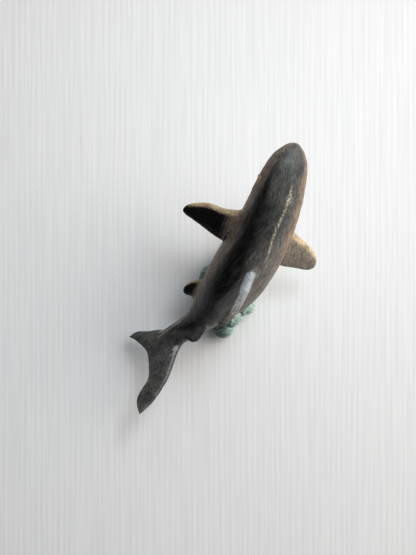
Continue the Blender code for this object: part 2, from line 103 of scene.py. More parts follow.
# Paired fins: distance back and distance out from their seat on the skin
LEFT_PECTORAL_LEAD = ((-1, -5), (0.4, 0.6), (1.9, 6.5), (1.9, 12), (4.0, 17.6), (6.5, 20.5),
                      (8.4, 20.9))
LEFT_PECTORAL_TRAIL = ((14.2, -5), (14.6, 0.5), (14.0, 5.8), (12.1, 11.4), (10.6, 16), (9.4, 19.6),
                       (8.4, 20.9))
RIGHT_PECTORAL_LEAD = ((0.5, -5), (2.8, 0.5), (6.3, 7.3), (9.4, 13.2), (13.6, 18.7), (16.6, 20.6),
                       (19.4, 20.9))
RIGHT_PECTORAL_TRAIL = ((17.5, -5), (19.2, 0.5), (20.5, 6.8), (20.6, 12), (21.0, 16.2),
                        (20.7, 19.2), (19.4, 20.9))
PELVIC_LEAD = ((-1.5, -3), (0.4, 0.8), (4.4, 3.3), (8.0, 4.0), (10.3, 3.3))
PELVIC_TRAIL = ((9.2, -3), (9.4, -0.6), (10.1, 0.7), (10.8, 1.8), (10.3, 3.3))
# Where the pairs sit, from the snout
PECTORAL_AT = 30
PELVIC_AT = 70
# Where a paired fin sits round the body, and the angle at which it stands out, in degrees
LEFT_PECTORAL_TURN = (195, 200)
RIGHT_PECTORAL_TURN = (-12, -8)
LEFT_PELVIC_TURN = (212, 212)
RIGHT_PELVIC_TURN = (-32, -32)

# Tail: distance back and height from its place on the spine
TAIL_AT = 104  # from the snout
TAIL_LEAD = ((14.6, -6.8), (10.2, -7.6), (4.5, -5.6), (-2.5, -3.4), (-8.8, 3.0), (-5.9, 8.0),
             (-1.4, 14.8), (3.9, 20.9), (10.2, 25.7), (16, 28.4))
TAIL_TRAIL = ((14.6, -6.8), (11.8, -4.0), (9.2, -0.2), (7.8, 2.6), (7.6, 5.4), (8.1, 9.8),
              (9.6, 15.2), (13.2, 18.5), (16.2, 22.6), (16, 28.4))

DORSAL_THICKNESS = 5.6
SECOND_THICKNESS = 2.7
ANAL_THICKNESS = 2.6
PECTORAL_THICKNESS = 3.3
PELVIC_THICKNESS = 2.6
TAIL_THICKNESS = 3.3
FIN_ROWS = 40
FIN_CHORD_STEPS = 22
FIN_TIP_SHARE = 0.25
FIN_TIP_POWER = 0.7
FIN_TIP_ROUND = 4
FIN_FRONT_POWER = 0.5
FIN_BACK_POWER = 0.75

# Carving on the head and round the rod. Places are distances from the snout, and angles are the
# right side's, which the left mirrors
MOUTH_FRONT = 8.5
MOUTH_CORNER = 19
MOUTH_HALF_ANGLE = 62
MOUTH_BEND = 1.6
MOUTH_STEPS = 33
MOUTH_DEPTH = 0.6
MOUTH_WIDTH = 0.45
LIP_RISE = 0.16
LIP_OFF = 1.2
LIP_WIDTH = 0.55
GILL_FIRST = 21.5
GILL_PITCH = 1.9
GILL_COUNT = 5
GILL_TOP_ANGLE = -26
GILL_BOTTOM_ANGLE = -54
GILL_STEPS = 9
GILL_DEPTH = 0.42
GILL_WIDTH = 0.36
GILL_FLAP = 0.14
GILL_FLAP_WIDTH = 0.9
NOSTRIL_AT = 5.5
NOSTRIL_LENGTH = 1.1
NOSTRIL_ANGLE = -38
NOSTRIL_DEPTH = 0.5
NOSTRIL_WIDTH = 0.42
EYE_AT = 15.2
EYE_ANGLE = -6
EYE_RADIUS = 1.6
EYE_REACH = 5  # round an eye, in which its socket and lid are carved
SOCKET_GAP = 0.12
LID_RADIUS = 1.5
LID_HEIGHT = 0.95
LID_THICKNESS = 0.36
LID_FILLET = 0.5
ROD_GAP = 0.3
ROD_REACH = 3  # round the rod, in which its hole is carved

# The low keel on the back and the hand-made unevenness of the skin
RIDGE_RISE = 0.25
KEEL_WIDTH = 7
KEEL_START = (5, 14)
KEEL_END = (42, 50)
DENT = 0.1
DENT_SIZE = 5.5
SMALL_DENT = 0.05
SMALL_DENT_SIZE = 1.4
SMALL_DENT_STRETCH = (0.5, 1, 1)

# Coral base and its pad
CORAL_STEP = 0.42  # of the grid that the coral is sculpted on
CORAL_BAND = 1.3  # how far from the coral's surface its distance is worked out
CORAL_KNOB = 3.2  # across a knob
CORAL_SHIFT = Vector((3.1, 7.7, 1.9))
KNOB_RISE = 0.62
KNOB_LEVEL = 0.35  # share of a knob's height that stays level with the solid
GRAIN_RISE = 0.16
GRAIN_SIZE = 1.3
PIT_DEPTH = 0.5
PIT_SIZE = 2.4
PIT_EDGE = (0.36, 0.66)
LOBE_RISE = 0.35
LOBE_SIZE = 6
SHARK_GAP = 0.3
SHARK_GAP_SHARE = 0.7  # of the room up to the shark that the coral may rise into
FOOT_HEIGHT = 1.2  # over which the coral's texture fades to its flat foot
ROD_CLEAR = (2.2, 3.6)  # from the rod's middle, over which the texture comes in
PAD_SIDES = 96
PAD_POWER = 2.6  # of the outline, as for the shark's section
PAD_PROFILE = ((0.3, 0), (0.6, 0), (0.9, 0), (0.975, 0.04), (1, 0.25), (1, 0.75), (0.975, 0.96),
               (0.9, 1), (0.6, 1), (0.3, 1))
PAD_FRAY = 0.22
FRAY_SIZE = 1.1

# Rubbed edges and dark hollows: the rounds of smoothing that show what lies near and far round a
# point, then the rise over which an edge is rubbed, and the depth over which a groove or a dip
# turns dark, in millimetres
SHARK_WEAR = {"near": 4, "far": 30, "edge": (0.02, 0.09), "groove": (0.01, 0.1),
              "dip": (0.2, 0.9), "dip_share": 0.6}
CORAL_WEAR = {"near": 3, "far": 18, "edge": (0.02, 0.14), "groove": (0.01, 0.12),
              "dip": (0.1, 0.7), "dip_share": 1}
FIN_SPARED = 0.85  # share of the rubbing that the fins are spared

# Borders of the paint on the body, as degrees round it at distances from the snout
BORDER_AT = (0, 15, 27, 40, 50, 70, 85, 100)
LEFT_BORDER = (150, 158, 168, 160, 162, 160, 195, 230)
RIGHT_BORDER = (40, 58, 62, 55, 50, 45, 33, 22)
# The black stripe on the left of the back is partly black paint and partly painted shade away from
# the lamps
NIGHT_BORDER = (185, 141, 126, 119, 114, 106, 116, 195)
# Ash on the right of the back is partly a painted lit side, lighter where the lamps fall
ASH_BORDER = (48, 58, 77, 91, 95, 86, 60, 40)
LEFT_SOFTNESS = 14
RIGHT_SOFTNESS = 15
NIGHT_SOFTNESS = 22
ASH_SOFTNESS = 26
BORDER_WANDER = 8
WANDER_SIZE = 2.6
WANDER_STRETCH = (0.35, 1, 1)
NIGHT_COVER = 0.88
BELLY_EDGE = (74, 50)  # degrees from the middle of the belly

# Pale lines on the body: along the ridge of the back, partly wear and partly a painted highlight,
# a scuff of wear on the head, and the left rim, partly dry brushing and partly painted rim light.
# ALONG and ROUND are a middle and a width, and START and END are where a line fades in and out
RIDGE_ANGLE = 86
RIDGE_WIDTH = 2.4
RIDGE_START = (11, 16)
RIDGE_END = (44, 37)
RIDGE_BOW = 10
BOW_ALONG = (29, 9)
SCUFF = 0.7
SCUFF_WIDTH = 9
SCUFF_ALONG = (17.5, 1.6)
RIM = 0.6
RIM_ROUND = (196, 9)
RIM_START = (20, 30)

# Paint on the fins. A chord is 0 at a fin's leading edge, and a span is 0 at its foot. The chords
# of the pale band, its edge, the glint and the shine, and the glint's span, are a middle and a
# width, and every other pair is where a coat fades in
FIN_EDGE = (0.3, 1.6)  # off the body, over which its paint gives way to a fin's
ROOT_SPAN = (0.17, 0.36)
TIP_SPAN = (0.86, 0.97)
# Where the painted shadow under the second dorsal's free rear edge fades in
REAR_CHORD = (0.6, 0.85)
GILT_CHORD = (0.22, 0.04)
GILT_SPAN = (0.88, 0.6)
RIGHT_GILT = 0.28  # the least that the right fins have anywhere: gold painted as warm light on the lit right fins
PALE_BAND_CHORD = (0.062, 0.034)
PALE_BAND_EDGE = 0.35
PALE_BAND_EDGE_CHORD = (0, 0.02)
PALE_BAND_SPAN = (0.8, 0.5)
PALE_FOOT_CHORD = (0.12, 0.08)
PALE_FOOT_SPAN = (0.42, 0.3)
DORSAL_ASH = 0.1
TAIL_TIP_ASH = 0.6
GLINT = 0.75
GLINT_CHORD = (0.12, 0.07)
GLINT_SPAN = (0.53, 0.035)
TAIL_SHINE = 0.4
TAIL_SHINE_CHORD = (0.06, 0.04)
TAIL_SHINE_SPAN = (0.4, 0.55)

# Colours of the finishes
NIGHT = (0.004, 0.0037, 0.0036)
SLATE = (0.034, 0.034, 0.033)
PALE_SLATE = (0.072, 0.07, 0.064)
ASH = (0.18, 0.157, 0.132)
TAN = (0.26, 0.178, 0.115)
TAN_IN_SHADE = (0.145, 0.103, 0.072)
GOLD = (0.36, 0.27, 0.15)
GOLD_IN_LIGHT = (0.66, 0.5, 0.31)
UMBER = (0.07, 0.052, 0.038)
HOLLOW_DARK = (0.012, 0.009, 0.007)
BELLY = (0.42, 0.35, 0.25)
WORN_TAN = (0.36, 0.27, 0.18)
CREAM = (0.62, 0.55, 0.42)
# Blue-white of the dorsal's pale band and of the painted highlights on the dorsal and tail
PALE_AND_HIGHLIGHT = (0.30, 0.325, 0.34)
CORAL_GREEN = (0.30, 0.46, 0.38)
CORAL_PALE = (0.42, 0.58, 0.50)
# Painted shade on the coral: its chalk and its green as they look on the side away from the lamps
CORAL_CHALK_IN_SHADE = (0.18, 0.27, 0.235)
CORAL_SHADE = (0.10, 0.147, 0.132)
CORAL_DARK = (0.045, 0.10, 0.095)
CORAL_CHALK = (0.55, 0.66, 0.58)
AMBER = (0.75, 0.38, 0.05)
AMBER_DARK = (0.35, 0.14, 0.02)
AMBER_RIM = (0.12, 0.05, 0.01)
STEEL = (0.62, 0.61, 0.60)
STEEL_DARK = (0.40, 0.40, 0.39)
FELT = (0.03, 0.032, 0.035)
FELT_DARK = (0.008, 0.009, 0.01)
BACKDROP_LOW = (0.775, 0.77, 0.776)
BACKDROP_HIGH = (0.84, 0.835, 0.829)

# Brushwork of the shark, in millimetres on its straightened body. A stretch is along, right and
# up, a noise has its size, detail and roughness, an edge is where it fades in, and a cover is the
# most that it hides of what lies under it
STROKE_STRETCH = (0.3, 1, 1)
BRUSH_STRETCH = (0.14, 1, 1)
PATCH_STRETCH = (0.5, 1, 1)
FLECK_STRETCH = (0.35, 1, 1)
STREAK_NOISE = (0.9, 4.0, 0.6)
BRUSH_NOISE = (0.45, 4.0, 0.7)
PATCH_NOISE = (2.4, 4.0, 0.6)
RUB_NOISE = (0.6, 3.0, 0.7)
FLECK_NOISE = (0.5, 3.0, 0.75)
# Size of the patches that a coat ends in, how far they stray and how softly they end
COATS = {
    "slate": (1.2, 1.3, 0.34),
    "black_and_shade": (1.2, 1.0, 0.5),
    "gilt": (0.6, 0.9, 0.42),
    "pale_paint_and_highlight": (0.6, 1.0, 0.4),
}
RUB_EDGE = (0.43, 0.6)
RUB_COVER = (0.12, 0.9)  # of the pale lines, where broken up most and least
RIGHT_SIDE = (-5.0, 6.0)  # across the body, from the colours of its left, darker as painted shade, to those of its lit right
UMBER_EDGE = (0.35, 0.7)
UMBER_COVER = 0.5
GLEAM_EDGE = (0.5, 0.7)
GLEAM_COVER = 0.5
BELLY_COVER = 0.7
PALE_SLATE_EDGE = (0.3, 0.7)
ASH_STREAKS = (0.3, 0.7, 0.65, 1.0)  # from and to in the noise, then in the cover
BRISTLES = (0.34, 0.66, 0.5, 1.55)  # from and to in the noise, then in the tone
FLECK_EDGE = (0.56, 0.66)
FLECK_PATCHES = (0.42, 0.62)
FLECK_COVER = (0.5, 0.1)  # on the flanks and on the slate
GILT_EDGE = (0.35, 0.55)
SHARK_FINISH_SIZE = 1.0
SHARK_MOTTLE = 0.5
SHARK_ROUGHNESS = (0.5, 0.4)  # on the flanks and on the slate
NIGHT_SMOOTHER = -0.14
SHARK_SPECULAR = 0.28
BRISTLE_GRAIN = 0.5
NIGHT_GRAIN = (1.0, 0.35)  # off and on the black stripe
SHARK_BUMP = (0.00018, 0.7)  # its distance in metres and its strength

RAGGED_NOISE = (4.0, 0.65)  # detail and roughness of a coat's ragged edge

# The hand finish that the shark and the coral share. Its noises have their size in multiples of
# the finish's own, their detail and their roughness
BROAD_NOISE = (3.2, 3.0, 0.5)
FINE_NOISE = (0.35, 4.0, 0.7)
SPECK_NOISE = (0.5, 2.0, 0.6)
SPECK_TONE = 1.6
TONE_SPREAD = 2.0
HOLLOW_STRAY = 0.8
HOLLOW_EDGE = (0.15, 0.85)
WORN_STRAY = 1.2
WORN_EDGE = (0.35, 0.8)
FINE_ROUGHNESS = 0.3
WORN_ROUGHNESS = 0.08
SPECK_HEIGHT = 0.5
FINE_HEIGHT = 0.35

# Coral, glass, steel, felt and backdrop, in metres. A roughness pair is its lowest and highest
CORAL_PATCH = 0.004
CORAL_PATCH_EDGE = (0.35, 0.65)
# Painted shade: past a border across the coral, away from the lamps and under the shark, it turns
# dark
CORAL_LIT_SIDE = (0.45, -0.9, 0)  # towards the lit side; away from it the coral is painted in shade
CORAL_STRAY = 0.005
CORAL_LIT_EDGE = (-0.0005, 0.0035)
CORAL_FINISH_SIZE = 0.0016
CORAL_MOTTLE = 0.4
CORAL_ROUGHNESS = 0.55
CORAL_BUMP = (0.00025, 0.7)
SPOKE_STRETCH = (1, 1, 0.2)
SPOKE_NOISE = (0.00022, 2.0)
SPOKE_EDGE = (0.35, 0.65)
PUPIL_EDGE = (0.3, 0.36)  # shares of the eye's radius
IRIS_EDGE = (0.6, 0.78)
EYE_ROUGHNESS = (0.05, 0.14)
EYE_COAT_ROUGHNESS = 0.03
STEEL_STRETCH = (1, 1, 0.04)
STEEL_NOISE = (0.00015, 3.0)
STEEL_ROUGHNESS = (0.22, 0.42)
STEEL_BUMP = (0.00002, 0.4)
MAT_NOISE = (0.0011, 5.0, 0.75)
HAIR_STRETCH = (1, 0.3, 1)
HAIR_NOISE = (0.00018, 3.0, 0.7)
FELT_ROUGHNESS = (0.85, 1.0)
FELT_SHEEN = 0.5
FELT_SHEEN_ROUGHNESS = 0.5
FELT_BUMP = (0.0002, 0.8)
RIB_PITCH = 0.0025
RIB_SHARE = 0.3
RIB_DRIFT = 9.0
THREAD_STRETCH = (1, 0.02, 1)
THREAD_NOISE = (0.0009, 1.0, 0.4)
THREAD_EDGE = (0.25, 0.75)
DRIFT_STRETCH = (1, 0.15, 1)
DRIFT_NOISE = (0.02, 2.0)
BACKDROP_ROUGHNESS = 0.85
BACKDROP_SPECULAR = 0.2

# Studio, in metres. A light has its turn and rise in degrees, distance, size, watts and colour
CAMERA_PLACE = (-0.00268, 0.01056, 0.3)
CAMERA_TURN = math.radians(-55)
CAMERA_LENS = 43.24
CAMERA_SENSOR = 36
BACKDROP_HALF = 2
WINDOW = (-17, 52, 0.8, 0.75, 4.0, (1, 0.975, 0.95))
LOW_WINDOW = (-33, 30, 0.8, 0.6, 2.3, (1, 0.88, 0.74))
NEAR_LAMP = (4, 63.5, 0.24, 0.06, 0.13, (0.8, 0.92, 1))
ROOM_SIDE = (0.93, -0.28, 0.2)  # towards the bright side of the room
ROOM_SIDE_EDGE = (-0.35, 0.75)
ROOM_TOP_EDGE = (0.55, 0.9)  # above which the room is dark
ROOM_WALL_EDGE = (0.03, 0.12)  # below which the wall shows
ROOM_BRIGHT = (0.86, 0.94, 1)
ROOM_DARK = (0.03, 0.03, 0.035)
ROOM_WALL = (0.3, 0.3, 0.31)
ROOM_STRENGTH = 1.1

# Sculpting grid
GRID_STEP = 0.36  # of the grid that the skin is sculpted on
GRID_MARGIN = 2
BAND = 1.8  # how far from a surface its distance is worked out
FIN_MARGIN = 1  # round a fin, in which points may be its own
FIN_SWELL = 0.16  # keeps thin edges thicker than the grid step
FIN_BLUR = 2  # rounds over which one fin's paint gives way to its neighbour's
FILLET = 1.5  # how far a fin's root flows into the body
STANDING_OFF = 0.2  # off the body, from where a point belongs to a fin
GLANCING = 0.5  # where less of a gap runs straight out of its face, rays tell the inside
SKEW_RAYS = [Vector(way).normalized() for way in
             ((0.31, 0.47, 0.83), (-0.52, 0.21, 0.74), (0.63, -0.7, 0.29))]
RAY_STEP = 0.001  # past one crossing before the next is looked for
MOST_CROSSINGS = 64
SAMPLE_STEPS = 5  # along each side of a face
SKIN_EASE = 3  # rounds that ease the grid's steps out of the skin
CORAL_EASE = 5
EASE_IN = 0.5  # share of the way to the mean of a point's neighbours
EASE_OUT = 0.52  # share of the way back out, so that the shape keeps its size
LEAST_GIRTH = 1.5
SEED_STEPS = (17.3, 5.1, 9.7)  # which shift the bumps from one seed to the next
BUMP_FALL = 0.9  # how fast the finer layers of bumps grow lower
BUMP_FINER = 2.1  # how much finer each layer of bumps is
SPINE_READINGS = (-3, 112, 461)  # first, last and how many
CHUNK = 20000  # points straightened at a time
MERGE_PARTS = 1e4  # parts of a millimetre, to one of which doubled points agree
ROUNDING = 0.01  # share of a grid step, taken off so that rounding adds no node
LAST_NODE = 1.001  # off a grid's count of nodes, to read just short of the last
TINY = 1e-12  # added to a normal, so that none has no length
FAR = 1e9


# Curves and lofts

def spline(knots, values, at):
    """Smooth curve through values given at rising knots, read at other places."""
    x = np.asarray(knots, float)
    y = np.asarray(values, float)
    step = np.diff(x)
    count = len(x)
    matrix = np.eye(count)
    right = np.zeros_like(y)
    for i in range(1, count - 1):
        matrix[i, i - 1] = step[i - 1]
        matrix[i, i] = 2 * (step[i - 1] + step[i])
        matrix[i, i + 1] = step[i]
        right[i] = 6 * ((y[i + 1] - y[i]) / step[i] - (y[i] - y[i - 1]) / step[i - 1])
    bend = np.linalg.solve(matrix, right)
    at = np.asarray(at, float).ravel()
    k = np.clip(np.searchsorted(x, at) - 1, 0, count - 2)
    width = step[k][:, None]
    after = (at - x[k])[:, None]
    before = width - after
    curve = (bend[k] * before**3 + bend[k + 1] * after**3) / (6 * width)
    curve += (y[k] / width - bend[k] * width / 6) * before
    curve += (y[k + 1] / width - bend[k + 1] * width / 6) * after
    return curve


def unit(vectors):
    return vectors / np.linalg.norm(vectors, axis=-1, keepdims=True)


def spine(at):
    table = np.array(SPINE, float)
    return spline(table[:, 0], table[:, 1:], at)


def axes(at):
    """Unit vectors towards the head, to the shark's right and out of its back."""
    at = np.asarray(at, float).ravel()
    ahead = unit(spine(at - TANGENT_REACH) - spine(at + TANGENT_REACH))
    level_up = unit(np.array((0, 0, 1.0)) - ahead * ahead[:, 2:])
    level_right = np.cross(ahead, level_up)
    lean = np.radians(spline(LEAN_AT, np.array(LEAN_DEGREES, float)[:, None], at))
    right = np.cos(lean) * level_right - np.sin(lean) * level_up
    up = np.cos(lean) * level_up + np.sin(lean) * level_right
    return ahead, right, up


def station_angle(at):
    """Place along the body as an angle, in which its rounded ends are smooth."""
    return np.arccos(1 - 2 * np.clip(np.asarray(at, float) / BODY_LENGTH, 0, 1))


def girth(at):
    """Half width, rise and drop of the section at distances from the snout."""
    table = np.array(GIRTH, float)
    return np.maximum(spline(station_angle(table[:, 0]), table[:, 1:], station_angle(at)), 0.0)


def skin(at, degrees):
    """Points on the skin: 0 degrees is the right side, 90 the back and 270 the belly."""
    at, degrees = np.broadcast_arrays(np.asarray(at, float), np.asarray(degrees, float))
    at, degrees = at.ravel(), np.radians(degrees.ravel())
    right, up = axes(at)[1:]
    half_width, rise, drop = girth(at).T
    across, along = np.cos(degrees), np.sin(degrees)
    power = 2 / SECTION_POWER
    height = np.where(along > 0, rise, drop)
    side = half_width * np.sign(across) * np.abs(across) ** power
    lift = height * np.sign(along) * np.abs(along) ** power
    return spine(at) + right * side[:, None] + up * lift[:, None]


def skin_point(at, degrees):
    return skin([at], [degrees])[0]


def other_side(degrees):
    """Angle of the same place on the other flank."""
    return 180 - degrees


def tube_faces(rows, sides):
    """Quads between closed rows of points."""
    i, j = np.meshgrid(np.arange(rows - 1), np.arange(sides), indexing="ij")
    k = (j + 1) % sides
    quads = np.stack((i * sides + j, i * sides + k, (i + 1) * sides + k, (i + 1) * sides + j), -1)
    return [tuple(q) for q in quads.reshape(-1, 4).tolist()]


def closed_loft(points, sides, first, last):
    """Points and faces of closed rows between two poles."""
    rows = len(points) // sides
    faces = tube_faces(rows, sides)
    start = (rows - 1) * sides
    count = len(points)
    faces += [((j + 1) % sides, j, count) for j in range(sides)]
    faces += [(start + j, start + (j + 1) % sides, count + 1) for j in range(sides)]
    return np.vstack((points, first, last)), faces


def body_loft():
    """Points and faces of the bare body, its rings closer together towards both ends."""
    turns = np.linspace(0, math.pi, SKIN_RINGS + 2)[1:-1]
    at = BODY_LENGTH * (1 - np.cos(turns)) / 2
    degrees = np.linspace(0, 360, SKIN_SIDES, endpoint=False)
    grid_at, grid_degrees = np.meshgrid(at, degrees, indexing="ij")
    points = skin(grid_at, grid_degrees)
    return closed_loft(points, SKIN_SIDES, spine([0])[0], spine([BODY_LENGTH])[0])


def spine_sheet(degrees):
    """Surface that follows the body at an angle: distance from the snout, height, thickness."""
    across = math.cos(math.radians(degrees))
    lift = math.sin(math.radians(degrees))

    def place(along, height, thickness):
        right, up = axes(along)[1:]
        out = right * across + up * lift
        side = right * lift - up * across
        return skin(along, degrees) + out * height[:, None] + side * thickness[:, None]

    return place


def flat_sheet(origin, back, out):
    """Flat surface through an origin: distance back, distance out, thickness."""
    normal = np.cross(out, back)

    def place(along, height, thickness):
        return origin + back * along[:, None] + out * height[:, None] + normal * thickness[:, None]

    return place


def side_sheet(at, seat, angle):
    """Flat surface out of the skin at a seat, both angles in degrees round the body."""
    ahead, right, up = (v[0] for v in axes([at]))
    out = right * math.cos(math.radians(angle)) + up * math.sin(math.radians(angle))
    return flat_sheet(skin_point(at, seat), -ahead, out)


def tail_sheet():
    """Flat surface on from the end of the spine, upright to the body."""
    ahead, _, up = (v[0] for v in axes([TAIL_AT]))
    return flat_sheet(spine([TAIL_AT])[0], -ahead, up)


def chord_swell(share):
    """Thickness across the chord: 0 at both edges and 1 where it is greatest."""
    greatest = FIN_FRONT_POWER / (FIN_FRONT_POWER + FIN_BACK_POWER)
    full = greatest**FIN_FRONT_POWER * (1 - greatest) ** FIN_BACK_POWER
    return share**FIN_FRONT_POWER * (1 - share) ** FIN_BACK_POWER / full


def fin_loft(place, lead, trail, thickness, both_tips=False):
    """Fin between a leading and a trailing edge, with the chord and span share of its points.

    A fin has its foot in the body and one tip, and the tail has a tip at both ends.
    """
    turn = np.arange(1 if both_tips else 0, FIN_ROWS) / FIN_ROWS
    share = (1 - np.cos(math.pi * turn)) / 2 if both_tips else np.sin(math.pi * turn / 2)
    thin = 1 - (2 * share - 1) ** 2 if both_tips else (1 - share) ** FIN_TIP_POWER
    half = thickness / 2 * (FIN_TIP_SHARE + (1 - FIN_TIP_SHARE) * thin)
    half = half * np.minimum(1, thin * FIN_TIP_ROUND) ** 0.5
    knots = np.linspace(0, 1, len(lead))
    front = spline(knots, np.array(lead, float), share)
    back = spline(np.linspace(0, 1, len(trail)), np.array(trail, float), share)
    chord = (1 - np.cos(math.pi * np.arange(FIN_CHORD_STEPS + 1) / FIN_CHORD_STEPS)) / 2
    round_chord = np.concatenate((chord, chord[-2:0:-1]))
    side = np.concatenate((np.ones(len(chord)), -np.ones(len(chord) - 2)))
    flat = front[:, None] + (back - front)[:, None] * round_chord[None, :, None]
    thick = half[:, None] * chord_swell(round_chord)[None, :] * side[None, :]
    points = place(flat[..., 0].ravel(), flat[..., 1].ravel(), thick.ravel())
    sides = len(round_chord)
    tip = place(np.array([lead[-1][0]]), np.array([lead[-1][1]]), np.zeros(1))[0]
    if both_tips:
        foot = place(np.array([lead[0][0]]), np.array([lead[0][1]]), np.zeros(1))[0]
    else:
        foot = points[:sides].mean(0)
    shape = closed_loft(points, sides, foot, tip)
    chords = np.concatenate((np.tile(round_chord, len(share)), (0.5, 0.5)))
    spans = np.concatenate((np.repeat(share, sides), (0, 1)))
    return shape, chords, spans


FINS = {
    "first_dorsal_fin": (spine_sheet(DORSAL_ANGLE), DORSAL_LEAD, DORSAL_TRAIL, DORSAL_THICKNESS),
    "second_dorsal_fin": (spine_sheet(BACK_ANGLE), SECOND_LEAD, SECOND_TRAIL, SECOND_THICKNESS),
    "anal_fin": (spine_sheet(BELLY_ANGLE), ANAL_LEAD, ANAL_TRAIL, ANAL_THICKNESS),
    "left_pectoral_fin": (side_sheet(PECTORAL_AT, *LEFT_PECTORAL_TURN),
                          LEFT_PECTORAL_LEAD, LEFT_PECTORAL_TRAIL, PECTORAL_THICKNESS),
    "right_pectoral_fin": (side_sheet(PECTORAL_AT, *RIGHT_PECTORAL_TURN),
                           RIGHT_PECTORAL_LEAD, RIGHT_PECTORAL_TRAIL, PECTORAL_THICKNESS),
    "left_pelvic_fin": (side_sheet(PELVIC_AT, *LEFT_PELVIC_TURN),
                        PELVIC_LEAD, PELVIC_TRAIL, PELVIC_THICKNESS),
    "right_pelvic_fin": (side_sheet(PELVIC_AT, *RIGHT_PELVIC_TURN),
                         PELVIC_LEAD, PELVIC_TRAIL, PELVIC_THICKNESS),
    "caudal_fin": (tail_sheet(), TAIL_LEAD, TAIL_TRAIL, TAIL_THICKNESS),
}


# Distances on a grid, and the skin over them

class Grid:
    """A box of evenly spaced nodes."""

    def __init__(self, low, high, step):
        self.low = np.asarray(low, float)
        self.step = step
        self.shape = tuple(np.ceil((np.asarray(high, float) - self.low) / step).astype(int) + 1)

    def places(self, index):
        return self.low + index * self.step

    def read(self, field, points):
        """Field values at points, blended between the eight nodes round each."""
        at = (points - self.low) / self.step
        at = np.clip(at, 0, np.array(self.shape) - LAST_NODE)
        base = np.floor(at).astype(int)
        part = at - base
        total = np.zeros(len(points))
        for corner in np.ndindex(2, 2, 2):
            weight = np.prod(np.where(corner, part, 1 - part), axis=1)
            i, j, k = (base + corner).T
            total += weight * field[i, j, k]
        return total


def triangle_corners(points, faces):
    """Corners of the faces, each cut into triangles."""
    triangles = []
    for face in faces:
        triangles += [(face[0], face[i], face[i + 1]) for i in range(1, len(face) - 1)]
    return points[np.array(triangles)]


def turned_out(points, faces):
    """The faces of a closed surface, all turned round if they point inwards."""
    a, b, c = triangle_corners(points, faces).transpose(1, 0, 2)
    if np.einsum("ij,ij->", a, np.cross(b, c)) > 0:
        return faces
    return [tuple(reversed(face)) for face in faces]


def surface_samples(points, faces):
    """Points spread over the faces closely enough to find the nodes near them."""
    corners = triangle_corners(points, faces)
    samples = []
    for i in range(SAMPLE_STEPS + 1):
        for j in range(SAMPLE_STEPS + 1 - i):
            a, b = i / SAMPLE_STEPS, j / SAMPLE_STEPS
            samples.append(corners[:, 0] * (1 - a - b) + corners[:, 1] * a + corners[:, 2] * b)
    return np.vstack(samples)


def near_nodes(grid, points, faces, band):
    """Indices of the grid nodes within about a band of the surface."""
    mark = np.zeros(grid.shape, bool)
    index = np.round((surface_samples(points, faces) - grid.low) / grid.step).astype(int)
    index = index[np.all((index >= 0) & (index < grid.shape), axis=1)]
    mark[tuple(index.T)] = True
    for axis in range(3):
        wide = mark.copy()
        for shift in range(1, int(math.ceil(band / grid.step)) + 1):
            ahead = [slice(None)] * 3
            behind = [slice(None)] * 3
            ahead[axis], behind[axis] = slice(shift, None), slice(None, -shift)
            wide[tuple(ahead)] |= mark[tuple(behind)]
            wide[tuple(behind)] |= mark[tuple(ahead)]
        mark = wide
    return np.argwhere(mark)


def crossings(tree, point, ray):
    """How often a ray from a point goes through a surface."""
    count = 0
    place = point
    while count < MOST_CROSSINGS:
        hit = tree.ray_cast(place, ray)[0]
        if hit is None:
            break
        count += 1
        place = hit + ray * RAY_STEP
    return count


def encloses(tree, point):
    """Whether a closed surface encloses a point, as most of the rays from it say."""
    votes = sum(crossings(tree, point, ray) % 2 for ray in SKEW_RAYS)
    return 2 * votes > len(SKEW_RAYS)


def distance_field(grid, points, faces, band, thin=False):
    """Distance to a closed surface at the nodes near it, negative inside; far nodes read a band.

    A thin shape has sharp edges, where the nearest face alone can't tell inside from outside.
    """
    faces = turned_out(points, faces)
    tree = BVHTree.FromPolygons([tuple(p) for p in points], faces)
    field = np.full(grid.shape, band, np.float32)
    nodes = near_nodes(grid, points, faces, band)
    places = grid.places(nodes)
    values = np.empty(len(nodes), np.float32)
    for n, place in enumerate(places.tolist()):
        point = Vector(place)
        hit, normal, _, gap = tree.find_nearest(point)
        slope = (point - hit).dot(normal)
        if abs(slope) < GLANCING * gap or (thin and slope < 0):
            inside = encloses(tree, point)
        else:
            inside = slope < 0
        values[n] = -gap if inside else gap
    field[tuple(nodes.T)] = np.clip(values, -band, band)
    fill_inside(field, band)
    return field


def fill_inside(field, band):
    """Gives the nodes deep inside their negative value, along each line of nodes."""
    far = field >= band
    known = np.where(far, 0, np.where(field < 0, -1, 1)).astype(np.int8)
    state = np.ones(field.shape[:2], np.int8)
    for k in range(field.shape[2]):
        layer = known[:, :, k]
        state = np.where(layer != 0, layer, state)
        deep = (layer == 0) & (state < 0)
        field[:, :, k][deep] = -band


def smooth_min(a, b, reach):
    """Smaller of two distances, rounded where they are within reach of each other."""
    h = np.clip(0.5 + 0.5 * (b - a) / reach, 0, 1)
    return b + (a - b) * h - reach * h * (1 - h)


